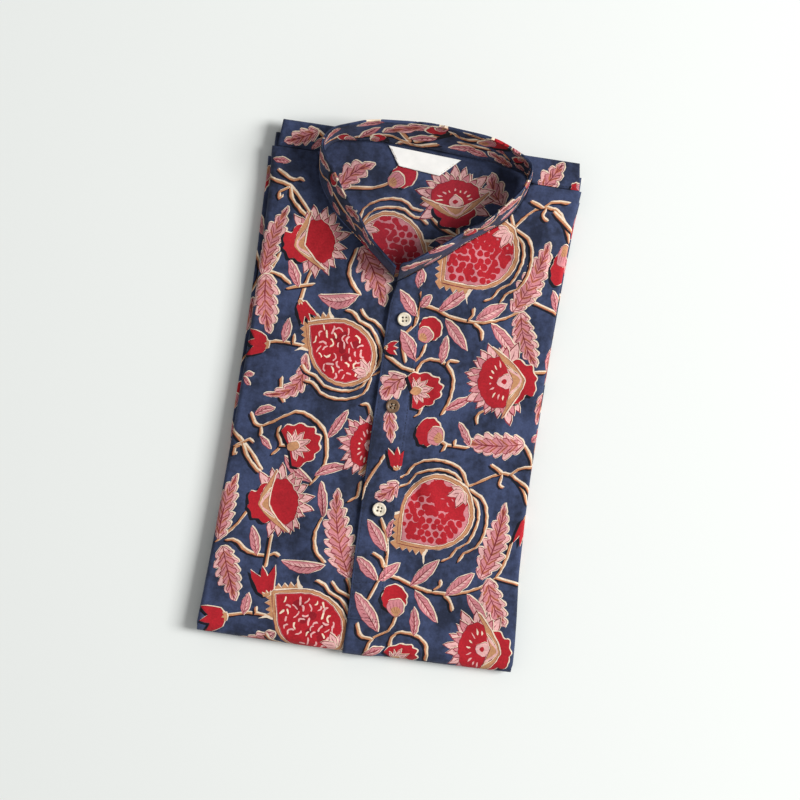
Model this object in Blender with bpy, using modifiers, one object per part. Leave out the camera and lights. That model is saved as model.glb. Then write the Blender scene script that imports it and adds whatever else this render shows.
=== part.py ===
"""A kurta tunic of printed cotton, folded for the shelf and laid on its back.

The garment was laid face down, its sides and sleeves were folded in, its lower half was folded up,
and the bundle was turned over. So the fronts, the button placket and the standing collar are on top.
Metres, +Z up, +Y towards the collar, +X towards the wearer's left. The origin is on the surface that
the bundle lies on, under its middle. Left and right in names are the wearer's.

Each piece of cloth is a flat outline, cut out as a maker would cut it, laid in place by a function
that says where the cloth lies, and then given its thickness.
"""

import math

import bmesh
import bpy
from mathutils import Vector
from mathutils.geometry import delaunay_2d_cdt

# Driving dimensions
CLOTH = 0.0012
SEAM_GAP = 0.0003
LAYER_GAP = 0.0004
REST_HEIGHT = 0.0160
DOME = 0.0012
BODY_HALF = 0.1340
FLAT_HALF = 0.1265
SIDE_RADIUS = 0.0039
SIDE_TURN = math.radians(120)
BOTTOM_FLAT = -0.2160
BOTTOM_RADIUS = 0.0079
BOTTOM_TURN = math.radians(128)
BOTTOM_SLOPE = 0.0142
SHOULDER_SEAM = 0.1875
OVERLAP_LIFT = 0.0019
UNDER_EDGE = 0.0080

# How far out the side folds lie from the middle line: y, wearer's right, wearer's left
SIDE_FOLDS = (
    (-0.2240, 0.1346, 0.1346),
    (-0.1900, 0.1330, 0.1328),
    (-0.1400, 0.1308, 0.1282),
    (-0.0500, 0.1284, 0.1254),
    (0.0300, 0.1270, 0.1254),
    (0.1050, 0.1276, 0.1268),
    (0.1550, 0.1290, 0.1290),
    (0.1900, 0.1318, 0.1322),
)

# The placket's two long edges: y, edge towards the wearer's right, edge towards the left
PLACKET_EDGES = (
    (-0.1960, -0.0092, 0.0186),
    (-0.1400, -0.0112, 0.0168),
    (-0.0600, -0.0124, 0.0166),
    (0.0000, -0.0126, 0.0160),
    (0.0500, -0.0136, 0.0134),
    (0.0800, -0.0126, 0.0112),
    (0.0980, -0.0108, 0.0112),
)

# How far across the over front its points lie near the placket, which is made from the same ones
PLACKET_COLUMNS = (-0.0050, 0.0010, 0.0075, 0.0115, 0.0150, 0.0185, 0.0220, 0.0260)

# Soft swells of the fronts: x, y, reach across, reach along, height
UNDER_SWELLS = (
    (-0.050, 0.062, 0.024, 0.040, 0.0034),
    (-0.080, -0.015, 0.036, 0.050, 0.0012),
    (-0.044, -0.112, 0.024, 0.040, 0.0026),
    (-0.104, 0.118, 0.016, 0.036, 0.0018),
    (-0.074, -0.178, 0.040, 0.026, 0.0012),
)
OVER_SWELLS = (
    (0.052, 0.078, 0.034, 0.036, 0.0022),
    (0.076, -0.030, 0.040, 0.054, 0.0014),
    (0.038, -0.128, 0.020, 0.044, 0.0012),
    (0.104, 0.126, 0.016, 0.030, 0.0020),
    (0.086, -0.164, 0.034, 0.034, 0.0010),
)

# The collar band, from its end at the placket round by the wearer's left: the foot's x, y and z,
# then the top edge's x and y. Its top edge's height follows from the band's own height.
BAND_HEIGHT = 0.030
BAND_WALL = 0.0020
BAND_BOW = 0.0008
BAND_CORNER = 0.007
COLLAR = (
    (-0.0105, 0.0895, 0.0240, -0.0098, 0.1030),
    (0.0020, 0.0985, 0.0238, 0.0008, 0.1055),
    (0.0230, 0.1135, 0.0225, 0.0211, 0.1212),
    (0.0455, 0.1325, 0.0210, 0.0432, 0.1385),
    (0.0575, 0.1415, 0.0205, 0.0542, 0.1470),
    (0.0706, 0.1522, 0.0198, 0.0655, 0.1575),
    (0.0800, 0.1655, 0.0190, 0.0764, 0.1716),
    (0.0855, 0.1780, 0.0180, 0.0845, 0.1840),
    (0.0875, 0.1890, 0.0178, 0.0873, 0.1945),
    (0.0835, 0.1950, 0.0178, 0.0845, 0.2020),
    (0.0720, 0.1985, 0.0178, 0.0760, 0.2085),
    (0.0540, 0.2010, 0.0172, 0.0560, 0.2165),
    (0.0280, 0.2030, 0.0154, 0.0300, 0.2210),
    (0.0000, 0.2045, 0.0148, 0.0000, 0.2225),
    (-0.0320, 0.2048, 0.0154, -0.0330, 0.2206),
    (-0.0570, 0.2035, 0.0172, -0.0590, 0.2152),
    (-0.0760, 0.2005, 0.0178, -0.0775, 0.2078),
    (-0.0868, 0.1925, 0.0178, -0.0880, 0.1980),
    (-0.0898, 0.1790, 0.0180, -0.0865, 0.1862),
    (-0.0862, 0.1625, 0.0185, -0.0762, 0.1705),
    (-0.0775, 0.1488, 0.0195, -0.0662, 0.1565),
    (-0.0692, 0.1378, 0.0200, -0.0575, 0.1452),
    (-0.0600, 0.1298, 0.0200, -0.0495, 0.1368),
    (-0.0470, 0.1200, 0.0200, -0.0385, 0.1215),
    (-0.0300, 0.1060, 0.0202, -0.0245, 0.1075),
    (-0.0135, 0.0928, 0.0205, -0.0128, 0.0988),
)
NECK_BACK = 13
NECK_REACH = 0.024

# The yoke's ends, which wrap over the shoulders: y, how far out on the wearer's right, on the left
YOKE_SIDES = (
    (0.1860, 0.1270, 0.1298),
    (0.1980, 0.1262, 0.1286),
    (0.2120, 0.1252, 0.1268),
)
YOKE_FOLD = 0.2085
YOKE_RADIUS = 0.0026
YOKE_RETURN = 0.0035
YOKE_INNER = 0.0620

# The back, seen through the neck opening
BACK_TOP = 0.0126
BACK_RISE = 0.0014
BACK_HALF = 0.1030
BACK_LOW = 0.0720
BACK_HIGH = 0.2005

# The hidden layers of the bundle
TOP_END_RINGS = (
    (0.1870, 0.0, 0.0, 0.0068),
    (0.1950, 0.0, -0.0002, 0.0078),
    (0.2010, 0.0008, -0.0008, 0.0085),
    (0.2040, 0.0030, -0.0030, 0.0100),
)
TAIL_INSET = 0.0010
TAIL_RADIUS = 0.0027
GROOVE_DEPTH = 0.0140
GROOVE_CEILING = 0.0095
HOLLOW_TOP = 0.0110
HOLLOW_EDGE = 0.1050
HOLLOW_START = 0.0560
HOLLOW_FULL = 0.0700

# The sleeves' folded edges, which show past the side folds: y, how far past on the right, on the left
SLEEVE_EDGES = (
    (-0.1000, -0.0030, -0.0020),
    (-0.0500, 0.0022, 0.0006),
    (0.0500, 0.0036, 0.0012),
    (0.1400, 0.0042, 0.0014),
    (0.1790, 0.0030, 0.0010),
)
SLEEVE_RADIUS = 0.0016
SLEEVE_WALL = 0.0010
SLEEVE_MIDDLE = 0.00745
SLEEVE_DEPTH = 0.0115

# Label: a woven strip with its ends folded at an angle, caught in the back neck seam
LABEL_WALL = 0.0010
LABEL_CORNERS = ((-0.0345, 0.2020), (-0.0235, 0.1862), (0.0115, 0.1828), (0.0280, 0.1988))

# Buttons: name, x, y
BUTTONS = (
    ("button_top", 0.0005, 0.0592),
    ("button_middle", 0.0019, -0.0145),
    ("button_bottom", 0.0036, -0.1017),
)
BUTTON_RADIUS = 0.00575
BUTTON_THICKNESS = 0.0024
BUTTON_RIM = 0.0011
BUTTON_DISH = 0.0005
BUTTON_HOLE_RADIUS = 0.00062
BUTTON_HOLE_OFFSET = 0.00125


def smooth(t):
    """0 before 0, 1 after 1, and an even curve between."""
    t = min(1.0, max(0.0, t))
    return t * t * (3 - 2 * t)


def bend_through(before, start, end, after, t):
    """A value on the smooth curve from start to end, which heads on to the values on both sides."""
    slope_in, slope_out = (end - before) / 2, (after - start) / 2
    rise = end - start
    return start + t * (slope_in + t * (3 * rise - 2 * slope_in - slope_out + t * (slope_in + slope_out - 2 * rise)))


def along(rows, place):
    """The row at a place from 0 to the last row's number, on a smooth curve through the rows."""
    i = min(max(int(place), 0), len(rows) - 2)
    near = [rows[min(max(i + step, 0), len(rows) - 1)] for step in (-1, 0, 1, 2)]
    return [bend_through(*values, place - i) for values in zip(*near)]


def at_height(rows, y, column):
    """A column's value at y, in a table whose rows start with y."""
    y = min(max(y, rows[0][0]), rows[-1][0])
    i = max(n for n in range(len(rows) - 1) if rows[n][0] <= y)
    return along(rows, i + (y - rows[i][0]) / (rows[i + 1][0] - rows[i][0]))[column]


def foot_of_collar():
    """Points along the collar's seam, close together, each as (place in COLLAR, x, y, z)."""
    steps = 6
    places = [n / steps for n in range(steps * (len(COLLAR) - 1) + 1)]
    return [(place, *along(COLLAR, place)[:3]) for place in places]


FOOT = foot_of_collar()


def neckline(side):
    """The collar seam on one side, from the front end to the middle of the back. side is 1 on the wearer's left."""
    if side > 0:
        return [p for p in FOOT if p[0] <= NECK_BACK]
    return [p for p in reversed(FOOT) if p[0] >= NECK_BACK]


def body_height(x):
    """The top of the cloth where it lies flat on the bundle."""
    return REST_HEIGHT + DOME * (1 - (x / BODY_HALF) ** 2)


def swell(swells, x, y):
    total = 0.0
    for mid_x, mid_y, reach_x, reach_y, height in swells:
        total += height * math.exp(-(((x - mid_x) / reach_x) ** 2) - ((y - mid_y) / reach_y) ** 2)
    return total


def front_height(side, x, y):
    """The height of a front's face: it lies on the bundle, swells a little, and rises to the collar seam."""
    height = body_height(x)
    if side > 0:
        height += OVERLAP_LIFT * (1 - smooth((x - 0.010) / 0.016)) + swell(OVER_SWELLS, x, y)
    else:
        height += swell(UNDER_SWELLS, x, y) * smooth((-0.015 - x) / 0.012)
    reach, seam_height = min((math.hypot(px - x, py - y), pz) for place, px, py, pz in neckline(side))
    share = math.exp(-((reach / NECK_REACH) ** 2))
    return height + (seam_height - LAYER_GAP - height) * share


def rounded(past, radius):
    """How far out and how far down a cloth lies, past metres along it from where it starts to round an edge."""
    turn = max(0.0, past) / radius
    return radius * math.sin(turn), radius * (1 - math.cos(turn))


def on_front(side, u, v):
    """Where a place on a front's cloth lies. u is across and v along, both flat; past the folds they round them.

    Round the bottom fold the side fold opens out, so that the corner is not bent both ways at once.
    """
    bottom_turn = max(0.0, BOTTOM_FLAT - v) / BOTTOM_RADIUS
    side_radius = SIDE_RADIUS / (1 - 0.98 * smooth(bottom_turn / 0.9))
    out, drop = rounded(abs(u) - FLAT_HALF, side_radius)
    y = max(v, BOTTOM_FLAT)
    start = at_height(SIDE_FOLDS, y, 2 if side > 0 else 1) - SIDE_RADIUS
    x = math.copysign(min(abs(u), FLAT_HALF) / FLAT_HALF * start + out, u)
    reach = BOTTOM_RADIUS + front_height(side, x, y) - REST_HEIGHT - drop
    y += BOTTOM_SLOPE * x * smooth(-y / 0.2) - reach * math.sin(bottom_turn)
    return Vector((x, y, REST_HEIGHT - BOTTOM_RADIUS + reach * math.cos(bottom_turn)))


def flat_of_front(side, x, y):
    """The flat place on a front's cloth that lies at x, y on top of the bundle."""
    start = at_height(SIDE_FOLDS, y, 2 if side > 0 else 1) - SIDE_RADIUS
    return (x * FLAT_HALF / start, y)


def lifted(place, u, v, height):
    """The point at u, v of a surface, moved out along the surface's normal."""
    step = 0.0005
    across = place(u + step, v) - place(u - step, v)
    upward = place(u, v + step) - place(u, v - step)
    return place(u, v) + across.cross(upward).normalized() * height


def on_placket(u, v):
    """The placket lies on the over front, moved out from its points."""
    return lifted(lambda a, b: on_front(1, a, b), u, v, LAYER_GAP + CLOTH)


def on_back(x, y):
    """The inside of the back, which lies on the hidden layers and rises to the collar seam."""
    rise = smooth((y - 0.165) / 0.035) * (1 - smooth((abs(x) - 0.055) / 0.03))
    return Vector((x, y, BACK_TOP + BACK_RISE * rise))


def on_yoke(side, u, v):
    """The yoke's end: over the shoulder, round the fold at the top and back under."""
    y_out, fold_drop = rounded(v - YOKE_FOLD, YOKE_RADIUS)
    turned = math.pi * YOKE_RADIUS
    back = max(0.0, v - YOKE_FOLD - turned)
    if back > 0:
        y_out, fold_drop = 0.0, 2 * YOKE_RADIUS
    y = min(v, YOKE_FOLD) + y_out - back
    x = u / FLAT_HALF * at_height(YOKE_SIDES, y, 2 if side > 0 else 1)
    return Vector((x, y, body_height(x) - fold_drop))


def on_sleeve(side, u, v):
    """A sleeve's folded edge: u runs along the upper layer, round the fold and back along the lower one."""
    edge = at_height(SIDE_FOLDS, v, 2 if side > 0 else 1) + at_height(SLEEVE_EDGES, v, 2 if side > 0 else 1)
    half_turn = math.pi * SLEEVE_RADIUS / 2
    layer = max(0.0, abs(u) - half_turn)
    turn = min(abs(u), half_turn) / SLEEVE_RADIUS
    x = edge - SLEEVE_RADIUS + SLEEVE_RADIUS * math.cos(turn) - layer
    z = SLEEVE_MIDDLE + math.copysign(SLEEVE_RADIUS * math.sin(turn), u)
    return Vector((side * x, v, z))


BAND_LENGTH = sum(math.dist(a[1:], b[1:]) for a, b in zip(FOOT, FOOT[1:]))


def on_band(s, h):
    """The collar band's outer face, s along it from the placket end and h up from its seam."""
    foot_x, foot_y, foot_z, top_x, top_y = along(COLLAR, s / BAND_LENGTH * (len(COLLAR) - 1))
    lean = math.hypot(top_x - foot_x, top_y - foot_y)
    rise = math.sqrt(BAND_HEIGHT**2 - min(lean, 0.9 * BAND_HEIGHT) ** 2)
    up = Vector((top_x - foot_x, top_y - foot_y, rise))
    share = h / BAND_HEIGHT
    ahead = along(COLLAR, min(s / BAND_LENGTH * (len(COLLAR) - 1) + 0.05, len(COLLAR) - 1))
    behind = along(COLLAR, max(s / BAND_LENGTH * (len(COLLAR) - 1) - 0.05, 0))
    way = Vector((ahead[0] - behind[0], ahead[1] - behind[1], 0))
    outward = way.cross(up).normalized()
    return Vector((foot_x, foot_y, foot_z)) + up * share + outward * BAND_BOW * 4 * share * (1 - share)


def material(name, colour, roughness):
    made = bpy.data.materials.new(name)
    made.use_nodes = True
    made.diffuse_color = (*colour, 1.0)
    shader = made.node_tree.nodes["Principled BSDF"]
    shader.inputs["Base Color"].default_value = (*colour, 1.0)
    shader.inputs["Roughness"].default_value = roughness
    shader.inputs["Metallic"].default_value = 0.0
    return made


def shown(mesh, name, finish):
    made = bpy.data.objects.new(name, mesh)
    mesh.materials.append(finish)
    parts.objects.link(made)
    return made


def inside(outline, u, v, margin):
    """Whether u, v lies inside the outline and at least margin from it."""
    within = False
    for (au, av), (bu, bv) in zip(outline, outline[1:] + outline[:1]):
        if (av > v) != (bv > v) and u < au + (v - av) / (bv - av) * (bu - au):
            within = not within
        length = math.hypot(bu - au, bv - av)
        share = min(1.0, max(0.0, ((u - au) * (bu - au) + (v - av) * (bv - av)) / max(length, 1e-9) ** 2))
        if math.hypot(au + share * (bu - au) - u, av + share * (bv - av) - v) < margin:
            return False
    return within


def spaced(start, end, step):
    """Values from start to end, about step apart, both ends included."""
    count = max(1, round(abs(end - start) / step))
    return [start + (end - start) * n / count for n in range(count + 1)]


def split_at_lattice(outline, across, upward, margin):
    """The outline with a point added wherever a line of the lattice crosses it, but none closer than margin."""
    points = []
    for (au, av), (bu, bv) in zip(outline, outline[1:] + outline[:1]):
        shares = [(line - au) / (bu - au) for line in across if (line - au) * (line - bu) < 0]
        shares += [(line - av) / (bv - av) for line in upward if (line - av) * (line - bv) < 0]
        length = math.hypot(bu - au, bv - av)
        points.append((au, av))
        last = 0.0
        for share in sorted(shares):
            if (share - last) * length > margin and (1 - share) * length > margin:
                points.append((au + share * (bu - au), av + share * (bv - av)))
                last = share
    return points


def cut_cloth(name, outline, across, upward, place, wall, finish, margin=0.0025):
    """A wall of cloth: a flat outline with a lattice of points inside it, laid in place and thickened inwards."""
    outline = split_at_lattice(outline, across, upward, margin)
    lattice = [(u, v) for u in across for v in upward if inside(outline, u, v, margin)]
    points = [Vector(p) for p in outline + lattice]
    rim = list(range(len(outline)))
    flat_points, _, faces, _, _, _ = delaunay_2d_cdt(points, [], [rim], 1, 1e-7)
    mesh = bpy.data.meshes.new(name)
    mesh.from_pydata([place(*p) for p in flat_points], [], faces)
    mesh.shade_smooth()
    made = shown(mesh, name, finish)
    thicken = made.modifiers.new("Wall", "SOLIDIFY")
    thicken.thickness = wall
    thicken.offset = -1
    thicken.use_quality_normals = True
    return made


def offset_neckline(side, distance):
    """The collar seam moved away from the neck by distance, as (x, y) points."""
    points = neckline(side)
    moved = []
    for i, (_, x, y, _) in enumerate(points):
        before, after = points[max(i - 1, 0)], points[min(i + 1, len(points) - 1)]
        way = Vector((after[1] - before[1], after[2] - before[2])).normalized()
        moved.append((x + side * way.y * distance, y - side * way.x * distance))
    return moved


def make_front(name, side, finish):
    """One front: from its centre edge round the side fold, and from the shoulder seam round the bottom fold."""
    side_end = side * (FLAT_HALF + SIDE_RADIUS * SIDE_TURN)
    low = BOTTOM_FLAT - BOTTOM_RADIUS * BOTTOM_TURN
    neck = [p for p in offset_neckline(side, SEAM_GAP) if p[1] < SHOULDER_SEAM][::2]
    neck = [flat_of_front(side, *p) for p in neck if abs(p[0]) < abs(neck[-1][0]) + 0.01]
    corner_end = side * (FLAT_HALF + 0.7 * SIDE_RADIUS)
    corner = [(side_end, SHOULDER_SEAM), (side_end, BOTTOM_FLAT - 0.002)]
    corner += [((side_end + corner_end) / 2, BOTTOM_FLAT - 0.0045), (corner_end, BOTTOM_FLAT - 0.007)]
    if side > 0:
        centre = [flat_of_front(1, at_height(PLACKET_EDGES, v, 1), v) for v in spaced(-0.208, 0.084, 0.018)]
    else:
        centre = [(UNDER_EDGE, -0.208), (UNDER_EDGE, 0.078)]
    outline = neck + [(neck[-1][0] + side * 0.003, SHOULDER_SEAM)] + corner
    outline += [(corner_end, low), (centre[0][0], low)] + centre
    if side < 0:
        outline.reverse()
    rounding = [FLAT_HALF + SIDE_RADIUS * SIDE_TURN * n / 5 for n in range(5)]
    near_edge = PLACKET_COLUMNS if side > 0 else (0.002, -0.006, -0.014, -0.022)
    across = [side * u for u in rounding] + list(near_edge)
    across += spaced(near_edge[-1] + side * 0.009, side * (FLAT_HALF - 0.004), 0.0105)
    bottom_rows = [BOTTOM_FLAT - BOTTOM_RADIUS * BOTTOM_TURN * n / 6 for n in range(6)]
    upward = bottom_rows + spaced(BOTTOM_FLAT + 0.006, SHOULDER_SEAM - 0.004, 0.0105)
    return cut_cloth(name, outline, across, upward, lambda u, v: on_front(side, u, v), CLOTH, finish, 0.0012)


def make_placket(finish):
    """The button placket, a folded strip sewn on the over front, squared off at its foot."""
    rows = spaced(PLACKET_EDGES[0][0], 0.090, 0.0095)
    left = [flat_of_front(1, at_height(PLACKET_EDGES, y, 2), y) for y in rows[::2]]
    right = [flat_of_front(1, at_height(PLACKET_EDGES, y, 1) - SEAM_GAP, y) for y in rows[:-1:2]]
    top = [flat_of_front(1, -0.0098, 0.0893), flat_of_front(1, 0.0010, 0.0968), flat_of_front(1, 0.0085, 0.1022)]
    outline = left + list(reversed(top)) + list(reversed(right))
    return cut_cloth("placket", outline, PLACKET_COLUMNS, rows, on_placket, CLOTH, finish, 0.0012)


def make_collar(finish):
    """The standing collar band, open at the front, with the over end's top corner rounded."""
    corner = []
    for n in range(5):
        turn = math.pi / 2 * n / 4
        corner.append((BAND_CORNER * (1 - math.sin(turn)), BAND_HEIGHT - BAND_CORNER * (1 - math.cos(turn))))
    steps = spaced(0.0, BAND_LENGTH, 0.0065)
    outline = [(0.0, 0.0), (BAND_LENGTH, 0.0), (BAND_LENGTH, BAND_HEIGHT)] + corner
    rows = spaced(0.0, BAND_HEIGHT, 0.010)[1:-1]
    return cut_cloth("collar_band", outline, steps, rows, on_band, BAND_WALL, finish)


def make_back(finish):
    """The back as it shows through the neck opening, cut to the back neckline and going on under the fronts."""
    outline = [(x, y) for _, x, y, _ in FOOT[::3] if abs(x) < YOKE_INNER - 0.004 and y > 0.19]
    outline += [(-BACK_HALF, BACK_HIGH), (-BACK_HALF, BACK_LOW), (BACK_HALF, BACK_LOW), (BACK_HALF, BACK_HIGH)]
    lattice = spaced(-0.09, 0.09, 0.012)
    rows = spaced(BACK_LOW + 0.01, 0.198, 0.0125)
    return cut_cloth("back", outline, lattice, rows, on_back, CLOTH, finish, 0.004)


def make_yoke(name, side, finish):
    """One end of the yoke, wrapped over the shoulder fold as far as the shoulder seam."""
    scale = FLAT_HALF / at_height(YOKE_SIDES, 0.2, 2 if side > 0 else 1)
    side_end = FLAT_HALF
    far = YOKE_FOLD + math.pi * YOKE_RADIUS + YOKE_RETURN
    front = SHOULDER_SEAM + SEAM_GAP + 0.0002
    neck = [(abs(x), y) for x, y in offset_neckline(side, SEAM_GAP) if abs(x) > YOKE_INNER and y > front]
    neck = [(x * scale, y) for x, y in neck[::2]]
    outline = neck + [(YOKE_INNER * scale, neck[-1][1] + 0.001), (YOKE_INNER * scale, far), (side_end, far)]
    outline = [(side * u, v) for u, v in outline + [(side_end, front), (neck[0][0] + 0.003, front)]]
    if side > 0:
        outline.reverse()
    across = [side * u for u in spaced(YOKE_INNER * scale + 0.006, FLAT_HALF - 0.006, 0.009)]
    rows = spaced(front + 0.005, YOKE_FOLD, 0.007) + [YOKE_FOLD + math.pi * YOKE_RADIUS * n / 5 for n in range(1, 6)]
    return cut_cloth(name, outline, across, rows, lambda u, v: on_yoke(side, u, v), CLOTH, finish, 0.0011)


def make_sleeve(name, side, finish):
    """The folded edge of a sleeve, two layers round one fold, held between the side folds."""
    depth = SLEEVE_DEPTH
    low, high = SLEEVE_EDGES[0][0], SLEEVE_EDGES[-1][0]
    outline = [(-depth, low), (depth, low), (depth, high), (-depth, high)]
    half_turn = math.pi * SLEEVE_RADIUS / 2
    across = [half_turn * n / 3 for n in range(-3, 4)]
    rows = spaced(low, high, 0.016)[1:-1]
    if side > 0:
        outline = [(-u, v) for u, v in reversed(outline)]
    return cut_cloth(name, outline, across, rows, lambda u, v: on_sleeve(side, -side * u, v), SLEEVE_WALL, finish, 0.001)


def bundle_ring(y, low, high, inset):
    """One section across the hidden layers, as (x, z) points: tail fold, groove for the sleeve, upper fold, top.

    low and high are its underside and the height of its upper fold's top, and inset draws its sides in.
    """
    ring = []
    full = REST_HEIGHT - CLOTH - LAYER_GAP
    for side, column in ((1, 2), (-1, 1)):
        edge = at_height(SIDE_FOLDS, y, column) - inset
        half = []
        for n in range(5):
            turn = math.pi * (n / 4 - 0.5)
            half.append((edge - TAIL_INSET - TAIL_RADIUS + TAIL_RADIUS * math.cos(turn),
                         TAIL_RADIUS + TAIL_RADIUS * math.sin(turn)))
        half.append((edge - GROOVE_DEPTH, 2 * TAIL_RADIUS))
        half.append((edge - GROOVE_DEPTH, GROOVE_CEILING))
        lobe = SIDE_RADIUS - CLOTH - LAYER_GAP
        middle = REST_HEIGHT - SIDE_RADIUS
        for n in range(5):
            turn = math.pi * (n / 4 - 0.5)
            half.append((edge - SIDE_RADIUS + lobe * math.cos(turn), middle + lobe * math.sin(turn)))
        sink = smooth((y - HOLLOW_START) / (HOLLOW_FULL - HOLLOW_START))
        for x in (HOLLOW_EDGE + 0.009, HOLLOW_EDGE + 0.001, HOLLOW_EDGE - 0.012, 0.065, 0.03):
            top = body_height(x) - CLOTH - LAYER_GAP
            hollow = top + (HOLLOW_TOP - top) * sink if x < HOLLOW_EDGE + 0.005 else top
            half.append((x, hollow))
        if side < 0:
            half.reverse()
        ring += [(side * x, low + z / full * (high - low)) for x, z in half]
    slope = BOTTOM_SLOPE * smooth(-y / 0.2)
    return [Vector((x, y + slope * x, z)) for x, z in ring]


def make_bundle(finish):
    """The hidden layers of the folded garment as one rounded solid: a loft of sections from the bottom fold up."""
    full = REST_HEIGHT - CLOTH - LAYER_GAP
    middle = REST_HEIGHT - BOTTOM_RADIUS
    inner = BOTTOM_RADIUS - CLOTH - 2 * LAYER_GAP
    rings = []
    for past in (0.0056, 0.0047):
        reach = math.sqrt(inner**2 - past**2)
        rings.append(bundle_ring(BOTTOM_FLAT - past, middle - reach, middle + reach, 0.0035))
    for past in (0.0043, 0.0028, 0.0012):
        under = math.sqrt(BOTTOM_RADIUS**2 - past**2)
        reach = math.sqrt(inner**2 - past**2)
        rings.append(bundle_ring(BOTTOM_FLAT - past, middle - under, middle + reach, 0.0025))
    for y in spaced(BOTTOM_FLAT + 0.003, HOLLOW_START, 0.018):
        rings.append(bundle_ring(y, 0.0, full, 0.0))
    for y in spaced(HOLLOW_START, HOLLOW_FULL, 0.007)[1:] + spaced(HOLLOW_FULL, 0.184, 0.018)[1:]:
        rings.append(bundle_ring(y, 0.0, full, 0.0))
    for y, low, high, inset in TOP_END_RINGS:
        rings.append(bundle_ring(y, low, full + high, inset))

    shape = bmesh.new()
    loops = [[shape.verts.new(p) for p in ring] for ring in rings]
    for near, far in zip(loops, loops[1:]):
        for i in range(len(near)):
            j = (i + 1) % len(near)
            shape.faces.new((near[i], near[j], far[j], far[i]))
    shape.faces.new(list(reversed(loops[0])))
    shape.faces.new(loops[-1])
    bmesh.ops.recalc_face_normals(shape, faces=shape.faces)
    mesh = bpy.data.meshes.new("folded_layers")
    shape.to_mesh(mesh)
    shape.free()
    return shown(mesh, "folded_layers", finish)


def make_label(finish):
    """The label, blank, hanging from the seam over the inside of the back."""
    across = spaced(-0.028, 0.022, 0.010)
    rows = (0.1905, 0.196)

    def on_label(x, y):
        return on_back(x, y) + Vector((0, 0, SEAM_GAP + LABEL_WALL))

    return cut_cloth("label", list(LABEL_CORNERS), across, rows, on_label, LABEL_WALL, finish, 0.002)


def make_button(name, x, y, finish):
    """A turned four-hole button with a raised rim, lying on the placket."""
    profile = (
        (0.0, -BUTTON_DISH),
        (BUTTON_RADIUS - 2.2 * BUTTON_RIM, -BUTTON_DISH),
        (BUTTON_RADIUS - 1.3 * BUTTON_RIM, 0.0),
        (BUTTON_RADIUS - 0.5 * BUTTON_RIM, 0.0),
        (BUTTON_RADIUS, -0.5 * BUTTON_RIM),
        (BUTTON_RADIUS, -BUTTON_RIM),
        (BUTTON_RADIUS - 1.5 * BUTTON_RIM, -BUTTON_THICKNESS),
        (0.0, -BUTTON_THICKNESS),
    )
    outline = bpy.data.meshes.new(name)
    outline.from_pydata([(r, 0.0, z) for r, z in profile], [(i, i + 1) for i in range(len(profile) - 1)], [])
    made = shown(outline, name, finish)
    turn = made.modifiers.new("Turn", "SCREW")
    turn.steps = turn.render_steps = 28
    turn.use_merge_vertices = True
    turn.merge_threshold = 0.00005
    turn.use_smooth_shade = True
    u, v = flat_of_front(1, x, y)
    face = on_placket(u, v)
    normal = (lifted(on_placket, u, v, 1.0) - face).normalized()
    seat = face + normal * (SEAM_GAP + BUTTON_THICKNESS + 0.0002)
    made.location = seat
    made.rotation_euler = normal.to_track_quat("Z", "Y").to_euler()
    for n in range(4):
        angle = math.pi / 4 + n * math.pi / 2
        bpy.ops.mesh.primitive_cylinder_add(vertices=10, radius=BUTTON_HOLE_RADIUS, depth=4 * BUTTON_THICKNESS)
        cutter = bpy.context.object
        cutter.name = f"{name}_cutter_{n}"
        for old in cutter.users_collection:
            old.objects.unlink(cutter)
        cutters.objects.link(cutter)
        reach = BUTTON_HOLE_OFFSET * math.sqrt(2)
        cutter.parent = made
        cutter.location = (reach * math.cos(angle), reach * math.sin(angle), -BUTTON_THICKNESS / 2)
        cutter.display_type = "WIRE"
        cutter.hide_render = True
        hole = made.modifiers.new(f"Hole {n}", "BOOLEAN")
        hole.operation = "DIFFERENCE"
        hole.object = cutter
    return made


# The origin goes under the middle of the finished bundle
CENTRING = Vector((0.0, 0.0023, 0.0))

for old_object in list(bpy.data.objects):
    bpy.data.objects.remove(old_object)
parts = bpy.data.collections.new("kurta tunic")
cutters = bpy.data.collections.new("cutters")
cutters.hide_render = True
bpy.context.scene.collection.children.link(parts)
bpy.context.scene.collection.children.link(cutters)

printed_cotton = material("printed cotton", (0.045, 0.062, 0.115), 0.85)
inner_cotton = material("inner cotton", (0.050, 0.068, 0.120), 0.88)
woven_label = material("woven label", (0.82, 0.80, 0.76), 0.80)
pale_shell = material("pale coconut shell", (0.78, 0.68, 0.52), 0.45)
brown_shell = material("brown coconut shell", (0.30, 0.20, 0.12), 0.45)

make_bundle(inner_cotton)
make_sleeve("sleeve_left", 1, printed_cotton)
make_sleeve("sleeve_right", -1, printed_cotton)
make_back(inner_cotton)
make_yoke("yoke_left", 1, printed_cotton)
make_yoke("yoke_right", -1, printed_cotton)
make_front("front_right", -1, printed_cotton)
make_front("front_left", 1, printed_cotton)
make_placket(printed_cotton)
make_collar(printed_cotton)
make_label(woven_label)
for button_name, button_x, button_y in BUTTONS:
    make_button(button_name, button_x, button_y, brown_shell if button_name == "button_middle" else pale_shell)
for finished in parts.objects:
    finished.location += CENTRING
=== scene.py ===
"""The looks of a block-printed cotton kurta tunic, folded for the shelf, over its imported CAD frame.

Metres, +Z up, +Y towards the collar, +X towards the wearer's left. Each sheet of cloth is drawn flat in
millimetres with its print, cut along every printed shape, and then laid where the folded garment's
cloth lies.
"""

import math
import random

import bmesh
import bpy
import numpy as np
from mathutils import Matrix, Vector
from mathutils.geometry import delaunay_2d_cdt


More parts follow.
